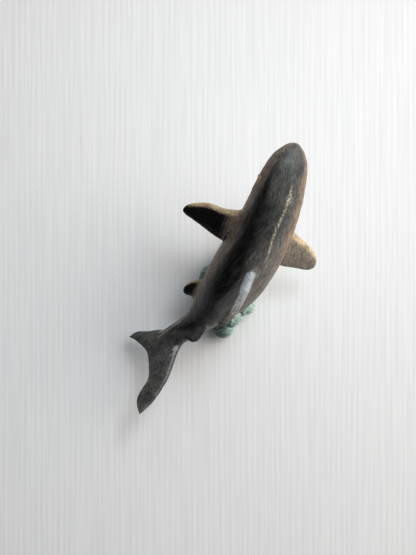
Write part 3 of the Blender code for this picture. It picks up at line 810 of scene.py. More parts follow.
def surface_net(grid, field):
    """Points and quads of the surface where a field is zero."""
    below = field < 0
    count = np.zeros(tuple(n - 1 for n in field.shape), np.int8)
    corners = list(np.ndindex(2, 2, 2))
    for i, j, k in corners:
        count += below[i:field.shape[0] - 1 + i, j:field.shape[1] - 1 + j, k:field.shape[2] - 1 + k]
    cells = np.argwhere((count > 0) & (count < 8))
    total = np.zeros((len(cells), 3))
    crossed_edges = np.zeros(len(cells))
    for a in corners:
        for axis in range(3):
            if a[axis]:
                continue
            b = tuple(1 if n == axis else a[n] for n in range(3))
            fa = field[tuple((cells + a).T)].astype(float)
            fb = field[tuple((cells + b).T)].astype(float)
            crossed = (fa < 0) != (fb < 0)
            share = np.where(crossed, fa / np.where(crossed, fa - fb, 1), 0)
            place = cells + np.array(a) + share[:, None] * (np.array(b) - np.array(a))
            total += np.where(crossed[:, None], place, 0)
            crossed_edges += crossed
    points = grid.places(total / crossed_edges[:, None])
    number = np.full(count.shape, -1, np.int64)
    number[tuple(cells.T)] = np.arange(len(cells))
    quads = []
    for axis in range(3):
        u, v = (axis + 1) % 3, (axis + 2) % 3
        low = [slice(1, -1)] * 3
        low[axis] = slice(0, -1)
        high = list(low)
        high[axis] = slice(1, None)
        here, there = below[tuple(low)], below[tuple(high)]
        edge = np.argwhere(here != there)
        leaving = here[tuple(edge.T)]
        start = edge + 1
        start[:, axis] -= 1
        around = []
        for du, dv in ((-1, -1), (0, -1), (0, 0), (-1, 0)):
            cell = start.copy()
            cell[:, u] += du
            cell[:, v] += dv
            around.append(number[tuple(cell.T)])
        quad = np.stack(around, -1)
        quads.append(np.where(leaving[:, None], quad, quad[:, ::-1]))
    return points, np.vstack(quads)


def keep_largest(points, quads):
    """Only the largest closed shell of a surface."""
    label = np.arange(len(points))
    while True:
        lowest = label[quads].min(axis=1)
        fresh = label.copy()
        for corner in range(4):
            np.minimum.at(fresh, quads[:, corner], lowest)
        fresh = fresh[fresh]
        if np.array_equal(fresh, label):
            break
        label = fresh
    names, sizes = np.unique(label, return_counts=True)
    kept = label == names[np.argmax(sizes)]
    renumber = np.cumsum(kept) - 1
    return points[kept], renumber[quads[kept[quads[:, 0]]]]


def neighbour_means(count, quads):
    """Function that averages values over each point's neighbours."""
    edges = np.vstack([quads[:, [i, (i + 1) % 4]] for i in range(4)])
    edges = np.unique(np.sort(edges, axis=1), axis=0)
    degree = np.bincount(edges.ravel(), minlength=count).astype(float)

    def mean(values):
        values = np.asarray(values, float)
        if values.ndim == 1:
            total = np.bincount(edges[:, 0], values[edges[:, 1]], count)
            total += np.bincount(edges[:, 1], values[edges[:, 0]], count)
            return total / degree
        return np.stack([mean(values[:, c]) for c in range(values.shape[1])], -1)

    return mean


def point_normals(points, quads):
    """Unit normal at each point of a quad mesh."""
    a, b, c, d = (points[quads[:, i]] for i in range(4))
    flat = np.cross(c - a, d - b)
    total = np.zeros_like(points)
    for corner in range(4):
        for axis in range(3):
            total[:, axis] += np.bincount(quads[:, corner], flat[:, axis], len(points))
    return unit(total + TINY)


def smoothed(mean, values, rounds):
    """Values at points after some rounds of averaging over their neighbours."""
    for _ in range(rounds):
        values = mean(values)
    return values


def rises(points, quads, mean, rounds):
    """How far points stand above the surface as it is after some rounds of smoothing."""
    smooth = smoothed(mean, points, rounds)
    return np.einsum("ij,ij->i", points - smooth, point_normals(smooth, quads))


def worn_and_hollow(points, quads, mean, near, far, edge, groove, dip, dip_share):
    """How much each point is rubbed, as on an edge, and how deep it lies, as in a groove."""
    sharp, broad = (rises(points, quads, mean, rounds) for rounds in (near, far))
    hollow = smoothstep(-sharp, *groove) + dip_share * smoothstep(-broad, *dip)
    return smoothstep(sharp, *edge), hollow


def bumps(points, size, seed, octaves=3):
    """Smooth random heights between about -1 and 1 at points, on a scale in millimetres."""
    shift = Vector([seed * step for step in SEED_STEPS])
    places = (Vector(p) / size + shift for p in points.tolist())
    return np.array([noise.fractal(place, BUMP_FALL, BUMP_FINER, octaves) for place in places])


def smoothstep(values, low, high):
    """0 to 1 from low to high, also where high is the smaller number."""
    t = np.clip((values - low) / (high - low), 0, 1)
    return t * t * (3 - 2 * t)


def bell(values, middle, width):
    """1 at the middle, falling away over a width to both sides."""
    return np.exp(-(((values - middle) / width) ** 2))


def path_distance(points, path):
    """Distance from points to a line of points."""
    best = np.full(len(points), FAR)
    for a, b in zip(path[:-1], path[1:]):
        along = b - a
        t = np.clip((points - a) @ along / (along @ along), 0, 1)
        best = np.minimum(best, np.linalg.norm(points - a - t[:, None] * along, axis=1))
    return best


def add_piece(name, points, faces):
    """Smooth shaded object from points in millimetres."""
    data = bpy.data.meshes.new(name)
    rows = faces.tolist() if isinstance(faces, np.ndarray) else faces
    data.from_pydata((points * MM).tolist(), [], rows)
    data.update()
    data.shade_smooth()
    piece = bpy.data.objects.new(name, data)
    bpy.context.scene.collection.objects.link(piece)
    return piece


def add_attribute(piece, name, values):
    """Puts a value or a vector on each point of a piece, for its material to read."""
    kind, field = ("FLOAT", "value") if values.ndim == 1 else ("FLOAT_VECTOR", "vector")
    layer = piece.data.attributes.new(name, kind, "POINT")
    layer.data.foreach_set(field, values.astype(np.float32).ravel())


# The shark's skin and its paint

def straightened(points):
    """Points as distance from the snout, then how far right and up from the spine."""
    at = np.linspace(*SPINE_READINGS)
    line = spine(at)
    best = np.zeros(len(points), int)
    for start in range(0, len(points), CHUNK):
        part = points[start:start + CHUNK]
        squared = (part**2).sum(1)[:, None] - 2 * part @ line.T + (line**2).sum(1)[None]
        best[start:start + CHUNK] = squared.argmin(1)
    ahead, right, up = (v[best] for v in axes(at))
    offset = points - line[best]
    forward, rightward, upward = (np.einsum("ij,ij->i", offset, v) for v in (ahead, right, up))
    return np.stack((at[best] - forward, rightward, upward), -1)


def node_shape(name):
    """Points in millimetres and triangles of a CAD node, its doubled points merged."""
    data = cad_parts[name].data
    points = np.array([v.co for v in data.vertices]) / MM
    key = np.round(points * MERGE_PARTS).astype(np.int64)
    _, first, number = np.unique(key, axis=0, return_index=True, return_inverse=True)
    number = number.ravel()
    triangles = [tuple(number[i] for i in p.vertices) for p in data.polygons]
    triangles = [t for t in triangles if len(set(t)) == 3]
    return points[first], triangles


def box_of(name):
    """Lowest and highest corner of a CAD node in millimetres."""
    return tuple(np.array(corner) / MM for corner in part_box(name))


def window_of(grid, low, high):
    """Smaller grid round a box, and where it lies in the large one."""
    first = np.maximum(np.floor((low - grid.low) / grid.step).astype(int), 0)
    last = np.minimum(np.ceil((high - grid.low) / grid.step).astype(int), np.array(grid.shape) - 1)
    small = Grid(grid.places(first), grid.places(last) - grid.step * ROUNDING, grid.step)
    return small, tuple(slice(a, a + n) for a, n in zip(first, small.shape))


def node_places(grid):
    """Place of every node of a grid."""
    steps = [grid.low[axis] + grid.step * np.arange(grid.shape[axis]) for axis in range(3)]
    return np.stack(np.meshgrid(*steps, indexing="ij"), -1)


def eye_centre(side):
    low, high = box_of(side + "_eye")
    return (low + high) / 2


def eye_axis(side):
    """Direction in which an eye looks."""
    angle = other_side(EYE_ANGLE) if side == "left" else EYE_ANGLE
    return unit(skin_point(EYE_AT, angle) - eye_centre(side))


def carve_eye(grid, field, side):
    """A socket round an eye, with a raised lid about its rim."""
    centre, out = eye_centre(side), eye_axis(side)
    small, window = window_of(grid, centre - EYE_REACH, centre + EYE_REACH)
    offset = node_places(small) - centre
    height = offset @ out
    spread = np.sqrt(np.maximum((offset**2).sum(-1) - height**2, 0))
    lid = np.hypot(height - LID_HEIGHT, spread - LID_RADIUS) - LID_THICKNESS
    ball = np.sqrt((offset**2).sum(-1)) - EYE_RADIUS - SOCKET_GAP
    field[window] = np.maximum(smooth_min(field[window], lid, LID_FILLET), -ball)


def carve_rod_hole(grid, field):
    """A hole up into the belly, a little wider and deeper than the rod that stands in it."""
    low, high = box_of("support_rod")
    centre = (low + high) / 2
    radius = (high[0] - low[0]) / 2 + ROD_GAP
    small, window = window_of(grid, np.append(low[:2] - ROD_REACH, grid.low[2]), high + ROD_REACH)
    places = node_places(small)
    hole = np.hypot(places[..., 0] - centre[0], places[..., 1] - centre[1]) - radius
    hole = np.maximum(hole, places[..., 2] - high[2] - ROD_GAP)
    field[window] = np.maximum(field[window], -hole)


def ease(points, quads, rounds):
    """Smooths a surface without shrinking it."""
    mean = neighbour_means(len(points), quads)
    for _ in range(rounds):
        points = points + EASE_IN * (mean(points) - points)
        points = points - EASE_OUT * (mean(points) - points)
    return points


def sculpt_shark():
    """Points and quads of the skin, how far each point is from the body, and the fins' lofts."""
    boxes = [box_of(name) for name in ("body", *FINS)]
    low = np.min([box[0] for box in boxes], axis=0) - GRID_MARGIN
    high = np.max([box[1] for box in boxes], axis=0) + GRID_MARGIN
    grid = Grid(low, high, GRID_STEP)
    body_field = distance_field(grid, *body_loft(), BAND)
    field = body_field.copy()
    fins = {}
    for name, sheet in FINS.items():
        fins[name] = fin_loft(*sheet, both_tips=name == "caudal_fin")
        shape = fins[name][0]
        margin = BAND + FIN_MARGIN
        small, window = window_of(grid, shape[0].min(0) - margin, shape[0].max(0) + margin)
        fin_field = distance_field(small, *shape, BAND, thin=True) - FIN_SWELL
        field[window] = smooth_min(field[window], fin_field, FILLET)
    for side in ("left", "right"):
        carve_eye(grid, field, side)
    carve_rod_hole(grid, field)
    points, quads = keep_largest(*surface_net(grid, field))
    outside = grid.read(body_field, points)
    return ease(points, quads, SKIN_EASE), quads, outside, fins


def head_depth(points, along):
    """How deep the mouth, gills and nostrils are cut, less the lips and flaps beside them."""
    steps = np.linspace(-1, 1, MOUTH_STEPS)
    reach = MOUTH_CORNER - MOUTH_FRONT
    mouth = skin(MOUTH_FRONT + reach * np.abs(steps) ** MOUTH_BEND,
                 BELLY_ANGLE + MOUTH_HALF_ANGLE * steps)
    gap = path_distance(points, mouth)
    depth = MOUTH_DEPTH * bell(gap, 0, MOUTH_WIDTH) - LIP_RISE * bell(gap, LIP_OFF, LIP_WIDTH)
    angles = np.linspace(GILL_TOP_ANGLE, GILL_BOTTOM_ANGLE, GILL_STEPS)
    for k in range(GILL_COUNT):
        at = GILL_FIRST + GILL_PITCH * k
        for turned in (angles, other_side(angles)):
            gap = path_distance(points, skin(at, turned))
            flap = GILL_FLAP * bell(gap, 0, GILL_FLAP_WIDTH) * (along < at)
            depth += GILL_DEPTH * bell(gap, 0, GILL_WIDTH) - flap
    for turned in (NOSTRIL_ANGLE, other_side(NOSTRIL_ANGLE)):
        nostril = skin([NOSTRIL_AT, NOSTRIL_AT + NOSTRIL_LENGTH], [turned, turned])
        depth += NOSTRIL_DEPTH * bell(path_distance(points, nostril), 0, NOSTRIL_WIDTH)
    return depth


def angle_round(straight):
    """Degrees round the body for straightened points: 0 is the right side, 90 the back."""
    half_width, rise, drop = np.maximum(girth(straight[:, 0]), LEAST_GIRTH).T
    height = np.where(straight[:, 2] > 0, rise, drop)
    return np.degrees(np.arctan2(straight[:, 2] / height, straight[:, 1] / half_width)) % 360


def nearest_on_fin(points, fin):
    """Chord and span share at the closest place on a fin, and how far off it is."""
    (fin_points, faces), chords, spans = fin
    tree = BVHTree.FromPolygons([tuple(p) for p in fin_points], faces)
    face_chords = np.array([np.mean(chords[list(f)]) for f in faces])
    face_spans = np.array([np.mean(spans[list(f)]) for f in faces])
    found = [tree.find_nearest(Vector(p)) for p in points.tolist()]
    index = np.array([f[2] for f in found])
    return face_chords[index], face_spans[index], np.array([f[3] for f in found])


def fin_shares(points, outside, fins):
    """Chord share, span share and fin number of every point that stands out of the body."""
    chord = np.full(len(points), 0.5)
    span = np.zeros(len(points))
    number = np.zeros(len(points), int)
    closest = np.full(len(points), FAR)
    standing = outside > STANDING_OFF
    for k, name in enumerate(FINS, 1):
        fin_points = fins[name][0][0]
        low, high = fin_points.min(0) - FIN_MARGIN, fin_points.max(0) + FIN_MARGIN
        near = np.where(standing & np.all((points > low) & (points < high), axis=1))[0]
        chords, spans, gaps = nearest_on_fin(points[near], fins[name])
        better = gaps < closest[near]
        near = near[better]
        chord[near], span[near] = chords[better], spans[better]
        number[near], closest[near] = k, gaps[better]
    return chord, span, number


def past_border(turn, along, border, softness):
    """0 to 1 across a border of the paint, from the shark's right over its back to its left."""
    degrees = np.array(border, float)[:, None]
    middle = spline(BORDER_AT, degrees, np.clip(along, BORDER_AT[0], BORDER_AT[-1]))[:, 0]
    return smoothstep(turn, middle - softness, middle + softness)


def body_coats(straight):
    """Where each coat of paint lies on the body, from 0 to 1, painted light and shade among them.
    """
    along, turn = straight[:, 0], angle_round(straight)
    wander = BORDER_WANDER * bumps(straight * WANDER_STRETCH, WANDER_SIZE, seed=3)
    slate = past_border(turn + wander, along, RIGHT_BORDER, RIGHT_SOFTNESS)
    slate *= 1 - past_border(turn + wander, along, LEFT_BORDER, LEFT_SOFTNESS)
    # Black stripe on the left of the back, partly paint and partly painted shade
    black_and_shade = past_border(turn + wander, along, NIGHT_BORDER, NIGHT_SOFTNESS) * slate
    bow = RIDGE_BOW * bell(along, *BOW_ALONG)
    ridge = bell(turn - RIDGE_ANGLE, bow, RIDGE_WIDTH)
    ridge *= smoothstep(along, *RIDGE_START) * smoothstep(along, *RIDGE_END)
    scuff = SCUFF * bell(turn, RIDGE_ANGLE, SCUFF_WIDTH) * bell(along, *SCUFF_ALONG)
    rim = RIM * bell(turn, *RIM_ROUND) * smoothstep(along, *RIM_START)
    return {
        "slate": slate,
        "black_and_shade": NIGHT_COVER * black_and_shade,
        "ash": 1 - past_border(turn + wander, along, ASH_BORDER, ASH_SOFTNESS),
        "ridge": ridge + scuff + rim,
        "belly": smoothstep(np.abs(turn - BELLY_ANGLE), *BELLY_EDGE),
    }


def fin_coats(chord, span, on_fin, is_fin):
    """Where each coat of paint lies on the fins, from 0 to 1, painted light and shade among them.
    """
    dorsal, second = is_fin["first_dorsal_fin"], is_fin["second_dorsal_fin"]
    tail = is_fin["caudal_fin"]
    left_fins = is_fin["left_pectoral_fin"] + is_fin["left_pelvic_fin"]
    right_fins = is_fin["right_pectoral_fin"] + is_fin["right_pelvic_fin"] + is_fin["anal_fin"]
    off_root = smoothstep(span, *ROOT_SPAN)
    lead = smoothstep(chord, *GILT_CHORD) * on_fin * smoothstep(span, *GILT_SPAN)
    tip = smoothstep(span, *TIP_SPAN) * on_fin
    rear = smoothstep(chord, *REAR_CHORD) * on_fin
    foot = smoothstep(chord, *PALE_FOOT_CHORD) * on_fin
    # The dorsal's pale band is partly pale paint and partly a painted highlight along its leading
    # edge
    pale = bell(chord, *PALE_BAND_CHORD) + PALE_BAND_EDGE * bell(chord, *PALE_BAND_EDGE_CHORD)
    pale = (pale + foot * smoothstep(span, *PALE_FOOT_SPAN)) * smoothstep(span, *PALE_BAND_SPAN)
    # Painted highlights: the glint and the shine on the tail
    shine = GLINT * bell(chord, *GLINT_CHORD) * bell(span, *GLINT_SPAN)
    shine += TAIL_SHINE * bell(chord, *TAIL_SHINE_CHORD) * smoothstep(span, *TAIL_SHINE_SPAN)
    # Ash on the right fins is painted light, a lit copy of the fins' slate; on the tail's tip it is
    # wear
    ash = on_fin * (right_fins + DORSAL_ASH * dorsal) + foot * dorsal + TAIL_TIP_ASH * tip * tail
    return {
        "slate": on_fin * (dorsal + second + tail + right_fins) + left_fins * off_root,
        # Black on the left fins is partly painted shade from the body; behind the second dorsal's
        # rear edge it is a painted shadow
        "black_and_shade": left_fins * (1 - lead) * off_root + rear * second,
        "gilt": lead * left_fins + (RIGHT_GILT + (1 - RIGHT_GILT) * lead) * right_fins,
        "ash": ash,
        "pale_paint_and_highlight": pale * on_fin * dorsal + shine * on_fin * tail,
    }


def make_shark():
    """The painted shark, with its body, fins and carving in one skin."""
    points, quads, outside, fins = sculpt_shark()
    straight = straightened(points)
    along = straight[:, 0]
    normals = point_normals(points, quads)
    keel = RIDGE_RISE * bell(angle_round(straight), BACK_ANGLE, KEEL_WIDTH)
    keel *= smoothstep(along, *KEEL_START)
    keel *= 1 - smoothstep(along, *KEEL_END)
    dents = DENT * bumps(points, DENT_SIZE, seed=1)
    dents += SMALL_DENT * bumps(straight * SMALL_DENT_STRETCH, SMALL_DENT_SIZE, seed=2)
    lift = keel + dents - head_depth(points, along)
    points = points + normals * lift[:, None]
    mean = neighbour_means(len(points), quads)
    chord, span, number = fin_shares(points, outside, fins)
    is_fin = {name: smoothed(mean, (number == k) * 1.0, FIN_BLUR) for k, name in enumerate(FINS, 1)}
    on_fin = smoothstep(outside, *FIN_EDGE)
    masks = {name: values * (1 - on_fin) for name, values in body_coats(straight).items()}
    for name, values in fin_coats(chord, span, on_fin, is_fin).items():
        masks[name] = masks.get(name, 0) + values
    worn, masks["hollow"] = worn_and_hollow(points, quads, mean, **SHARK_WEAR)
    masks["worn"] = worn * (1 - FIN_SPARED * on_fin)
    piece = add_piece("shark_skin", points, quads)
    add_attribute(piece, "straight", straight)
    for name, values in masks.items():
        add_attribute(piece, name, np.clip(values, 0, 1))
    return piece


# The coral base and the felt under it

def knob_heights(points):
    """Rounded knobs packed over a surface, from 0 between them to 1 on top."""
    heights = []
    for p in points.tolist():
        gaps = noise.voronoi(Vector(p) / CORAL_KNOB + CORAL_SHIFT)[0]
        heights.append(min(1.0, gaps[1] - gaps[0]))
    return np.array(heights)


def room_to_shark(points):
    """How far points are from the shark's body."""
    body_points, body_faces = body_loft()
    tree = BVHTree.FromPolygons([tuple(p) for p in body_points], body_faces)
    return np.array([tree.find_nearest(Vector(p))[3] for p in points.tolist()])


def make_coral():
    """The coral, with knobs, pits and grain on the solid's shape."""
    shape = node_shape("coral_base")
    low, high = shape[0].min(0) - GRID_MARGIN, shape[0].max(0) + GRID_MARGIN
    grid = Grid(low, high, CORAL_STEP)
    points, quads = keep_largest(*surface_net(grid, distance_field(grid, *shape, CORAL_BAND)))
    points = ease(points, quads, CORAL_EASE)
    foot = shape[0][:, 2].min()
    normals = point_normals(points, quads)
    knob = knob_heights(points)
    pits = smoothstep(bumps(points, PIT_SIZE, seed=9, octaves=2), *PIT_EDGE)
    lift = KNOB_RISE * (knob - KNOB_LEVEL) + GRAIN_RISE * bumps(points, GRAIN_SIZE, seed=8)
    lift -= PIT_DEPTH * pits
    lift += LOBE_RISE * bumps(points, LOBE_SIZE, seed=10)
    room = np.maximum(room_to_shark(points) - SHARK_GAP, 0) * SHARK_GAP_SHARE
    lift = np.minimum(lift, room)
    low, high = box_of("support_rod")
    off_rod = np.hypot(*(points[:, :2] - (low + high)[:2] / 2).T)
    lift *= smoothstep(points[:, 2], foot, foot + FOOT_HEIGHT) * smoothstep(off_rod, *ROD_CLEAR)
    points = points + normals * lift[:, None]
    points[:, 2] = np.maximum(points[:, 2], foot)
    mean = neighbour_means(len(points), quads)
    worn, hollow = worn_and_hollow(points, quads, mean, **CORAL_WEAR)
    piece = add_piece("coral_rock", points, quads)
    add_attribute(piece, "worn", worn)
    add_attribute(piece, "hollow", np.clip(hollow, 0, 1))
    return piece


def make_pad():
    """The felt under the base, with soft rims and a slightly uneven edge."""
    low, high = box_of("felt_pad")
    half, centre = (high - low) / 2, (high + low) / 2
    turn = np.linspace(0, 2 * math.pi, PAD_SIDES, endpoint=False)
    outline = np.stack((np.cos(turn), np.sin(turn)), -1)
    outline = np.sign(outline) * np.abs(outline) ** (2 / PAD_POWER)
    rings = []
    for share, rise in PAD_PROFILE:
        ring = np.empty((PAD_SIDES, 3))
        ring[:, :2] = centre[:2] + outline * half[:2] * share
        ring[:, 2] = low[2] + rise * (high[2] - low[2])
        rings.append(ring)
    points = np.vstack(rings)
    inward = unit(points[:, :2] - centre[:2])
    points[:, :2] -= inward * PAD_FRAY * np.abs(bumps(points, FRAY_SIZE, seed=21))[:, None]
    bottom, top = (np.append(centre[:2], level) for level in (low[2], high[2]))
    points, faces = closed_loft(points, PAD_SIDES, bottom, top)
    return add_piece("felt_sole", points, turned_out(points, faces))


# Shader trees

class Shaders:
    """Adds nodes to a shader tree and joins them by name."""

    def __init__(self, tree):
        self.tree = tree

    def join(self, socket, value):
        """Links a socket to another one, or sets it to a number, a vector or a colour."""
        if isinstance(value, bpy.types.NodeSocket):
            self.tree.links.new(value, socket)
        elif socket.type == "RGBA" and len(value) == 3:
            socket.default_value = (*value, 1)
        else:
            socket.default_value = value

    def node(self, kind, inputs=None, **settings):
        """A new node with its settings, and with its sockets linked or set."""
        made = self.tree.nodes.new(kind)
        for name, value in settings.items():
            setattr(made, name, value)
        for name, value in (inputs or {}).items():
            self.join(made.inputs[name], value)
        return made

    def group(self, group, inputs):
        return self.node("ShaderNodeGroup", inputs, node_tree=group).outputs

    def object_place(self):
        return self.node("ShaderNodeTexCoord").outputs["Object"]

    def share(self, name):
        """A mask that make_shark or make_coral has put on the piece's points."""
        return self.node("ShaderNodeAttribute", attribute_name=name).outputs["Fac"]

    def vector(self, name):
        return self.node("ShaderNodeAttribute", attribute_name=name).outputs["Vector"]

    def math(self, operation, *values):
        made = self.node("ShaderNodeMath", operation=operation)
        for socket, value in zip(made.inputs, values):
            self.join(socket, value)
        return made.outputs[0]

    def times(self, a, b):
        return self.math("MULTIPLY", a, b)

    def times_plus(self, value, factor, more):
        """A value times a factor, plus another value."""
        return self.math("MULTIPLY_ADD", value, factor, more)

    def about_zero(self, value):
        return self.math("SUBTRACT", value, 0.5)

    def mix(self, factor, a, b):
        """One colour laid over another: a where the factor is 0, b where it is 1."""
        made = self.node("ShaderNodeMix", data_type="RGBA")
        for index, value in ((0, factor), (6, a), (7, b)):
            self.join(made.inputs[index], value)
        return made.outputs[2]

    def step(self, value, low, high):
        """Smoothly from 0 to 1 as a value goes from low to high."""
        made = self.node("ShaderNodeMapRange", {"Value": value, "From Min": low, "From Max": high},
                         interpolation_type="SMOOTHSTEP")
        return made.outputs["Result"]

    def blend(self, value, low, high, first, last):
        """Evenly from first to last as a value goes from low to high."""
        made = self.node("ShaderNodeMapRange", {
            "Value": value, "From Min": low, "From Max": high, "To Min": first, "To Max": last})
        return made.outputs["Result"]

    def between(self, share, first, last):
        return self.blend(share, 0, 1, first, last)

    def vector_math(self, operation, output, *values):
        made = self.node("ShaderNodeVectorMath", operation=operation)
        for socket, value in zip(made.inputs, values):
            self.join(socket, value)
        return made.outputs[output]

    def stretched(self, vector, factors):
        return self.vector_math("MULTIPLY", "Vector", vector, factors)

    def toned(self, colour, tone):
        """A colour made lighter or darker by a factor."""
        grey = self.node("ShaderNodeCombineXYZ", {"X": tone, "Y": tone, "Z": tone})
        return self.stretched(colour, grey.outputs[0])

    def part_of(self, vector, axis):
        return self.node("ShaderNodeSeparateXYZ", {0: vector}).outputs[axis]

    def noise(self, vector, size, detail=3.0, roughness=0.55):
        """Noise between 0 and 1 on a scale given in the vector's own units."""
        linked = isinstance(size, bpy.types.NodeSocket)
        scale = self.math("DIVIDE", 1.0, size) if linked else 1 / size
        made = self.node("ShaderNodeTexNoise", {
            "Vector": vector, "Scale": scale, "Detail": detail, "Roughness": roughness})
        return made.outputs["Fac"]


def new_group(name, inputs, outputs):
    """Empty shader group with named sockets; gives the group, its node adder and its two ends."""
    group = bpy.data.node_groups.new(name, "ShaderNodeTree")
    for label, kind, value in inputs:
        socket = group.interface.new_socket(label, in_out="INPUT", socket_type=kind)
        if value is not None:
            socket.default_value = value
    for label, kind in outputs:
        group.interface.new_socket(label, in_out="OUTPUT", socket_type=kind)
    shaders = Shaders(group)
    start = shaders.node("NodeGroupInput").outputs
    end = shaders.node("NodeGroupOutput").inputs
    return group, shaders, start, end


NUMBER, COLOUR, VECTOR = "NodeSocketFloat", "NodeSocketColor", "NodeSocketVector"


def ragged_edge_group():
    """Breaks the soft border of a mask into uneven patches, as a brush leaves them."""
    group, s, start, end = new_group(
        "Ragged edge",
        (("Mask", NUMBER, 0), ("Vector", VECTOR, None), ("Size", NUMBER, 1.0),
         ("Amount", NUMBER, 1.0), ("Softness", NUMBER, 0.15)),
        (("Mask", NUMBER),))
    waver = s.about_zero(s.noise(start["Vector"], start["Size"], *RAGGED_NOISE))
    moved = s.times_plus(waver, start["Amount"], start["Mask"])
    low = s.math("SUBTRACT", 0.5, start["Softness"])
    high = s.math("ADD", 0.5, start["Softness"])
    s.join(end["Mask"], s.step(moved, low, high))
    return group


def hand_finish_group():
    """Patches of tone, dark in the hollows and rubbed through on the edges, with a fine grain."""
    group, s, start, end = new_group(
        "Hand finish",
        (("Color", COLOUR, None), ("Hollow Color", COLOUR, None), ("Worn Color", COLOUR, None),
         ("Hollow", NUMBER, 0), ("Worn", NUMBER, 0), ("Vector", VECTOR, None),
         ("Size", NUMBER, 1.0), ("Mottle", NUMBER, 0.25), ("Roughness", NUMBER, 0.4)),
        (("Color", COLOUR), ("Roughness", NUMBER), ("Height", NUMBER)))
    broad, fine, speck = (
        s.noise(start["Vector"], s.times(start["Size"], size), detail, roughness)
        for size, detail, roughness in (BROAD_NOISE, FINE_NOISE, SPECK_NOISE))
    off_broad, off_fine, off_speck = (s.about_zero(value) for value in (broad, fine, speck))
    uneven = s.math("ADD", off_broad, s.times(off_speck, SPECK_TONE))
    tone = s.times_plus(s.times(uneven, TONE_SPREAD), start["Mottle"], 1.0)
    coloured = s.toned(start["Color"], tone)
    hollow = s.step(s.times_plus(off_broad, HOLLOW_STRAY, start["Hollow"]), *HOLLOW_EDGE)
    worn = s.step(s.times_plus(off_fine, WORN_STRAY, start["Worn"]), *WORN_EDGE)
    coloured = s.mix(hollow, coloured, start["Hollow Color"])
    s.join(end["Color"], s.mix(worn, coloured, start["Worn Color"]))
    rough = s.times_plus(off_fine, FINE_ROUGHNESS, start["Roughness"])
    s.join(end["Roughness"], s.times_plus(worn, WORN_ROUGHNESS, rough))
    s.join(end["Height"], s.times_plus(fine, FINE_HEIGHT, s.times_plus(speck, SPECK_HEIGHT, broad)))
    return group


def new_material(name):
    """Material with its node adder and its Principled BSDF."""
    material = bpy.data.materials.new(name)
    material.use_nodes = True
    s = Shaders(material.node_tree)
    return material, s, material.node_tree.nodes["Principled BSDF"]


def set_surface(s, surface, colour, roughness):
    """Joins a colour and a roughness that change over the surface."""
    s.join(surface.inputs["Base Color"], colour)
    s.join(surface.inputs["Roughness"], roughness)


def set_bump(s, surface, height, distance, strength):
    bump = s.node("ShaderNodeBump", {"Height": height, "Distance": distance, "Strength": strength})
    s.join(surface.inputs["Normal"], bump.outputs["Normal"])


def coat_mask(s, ragged, name, vector):
    """One coat's mask on the shark, its border broken up by the brush."""
    size, amount, softness = COATS[name]
    return s.group(ragged, {"Mask": s.share(name), "Vector": vector, "Size": size,
                            "Amount": amount, "Softness": softness})["Mask"]


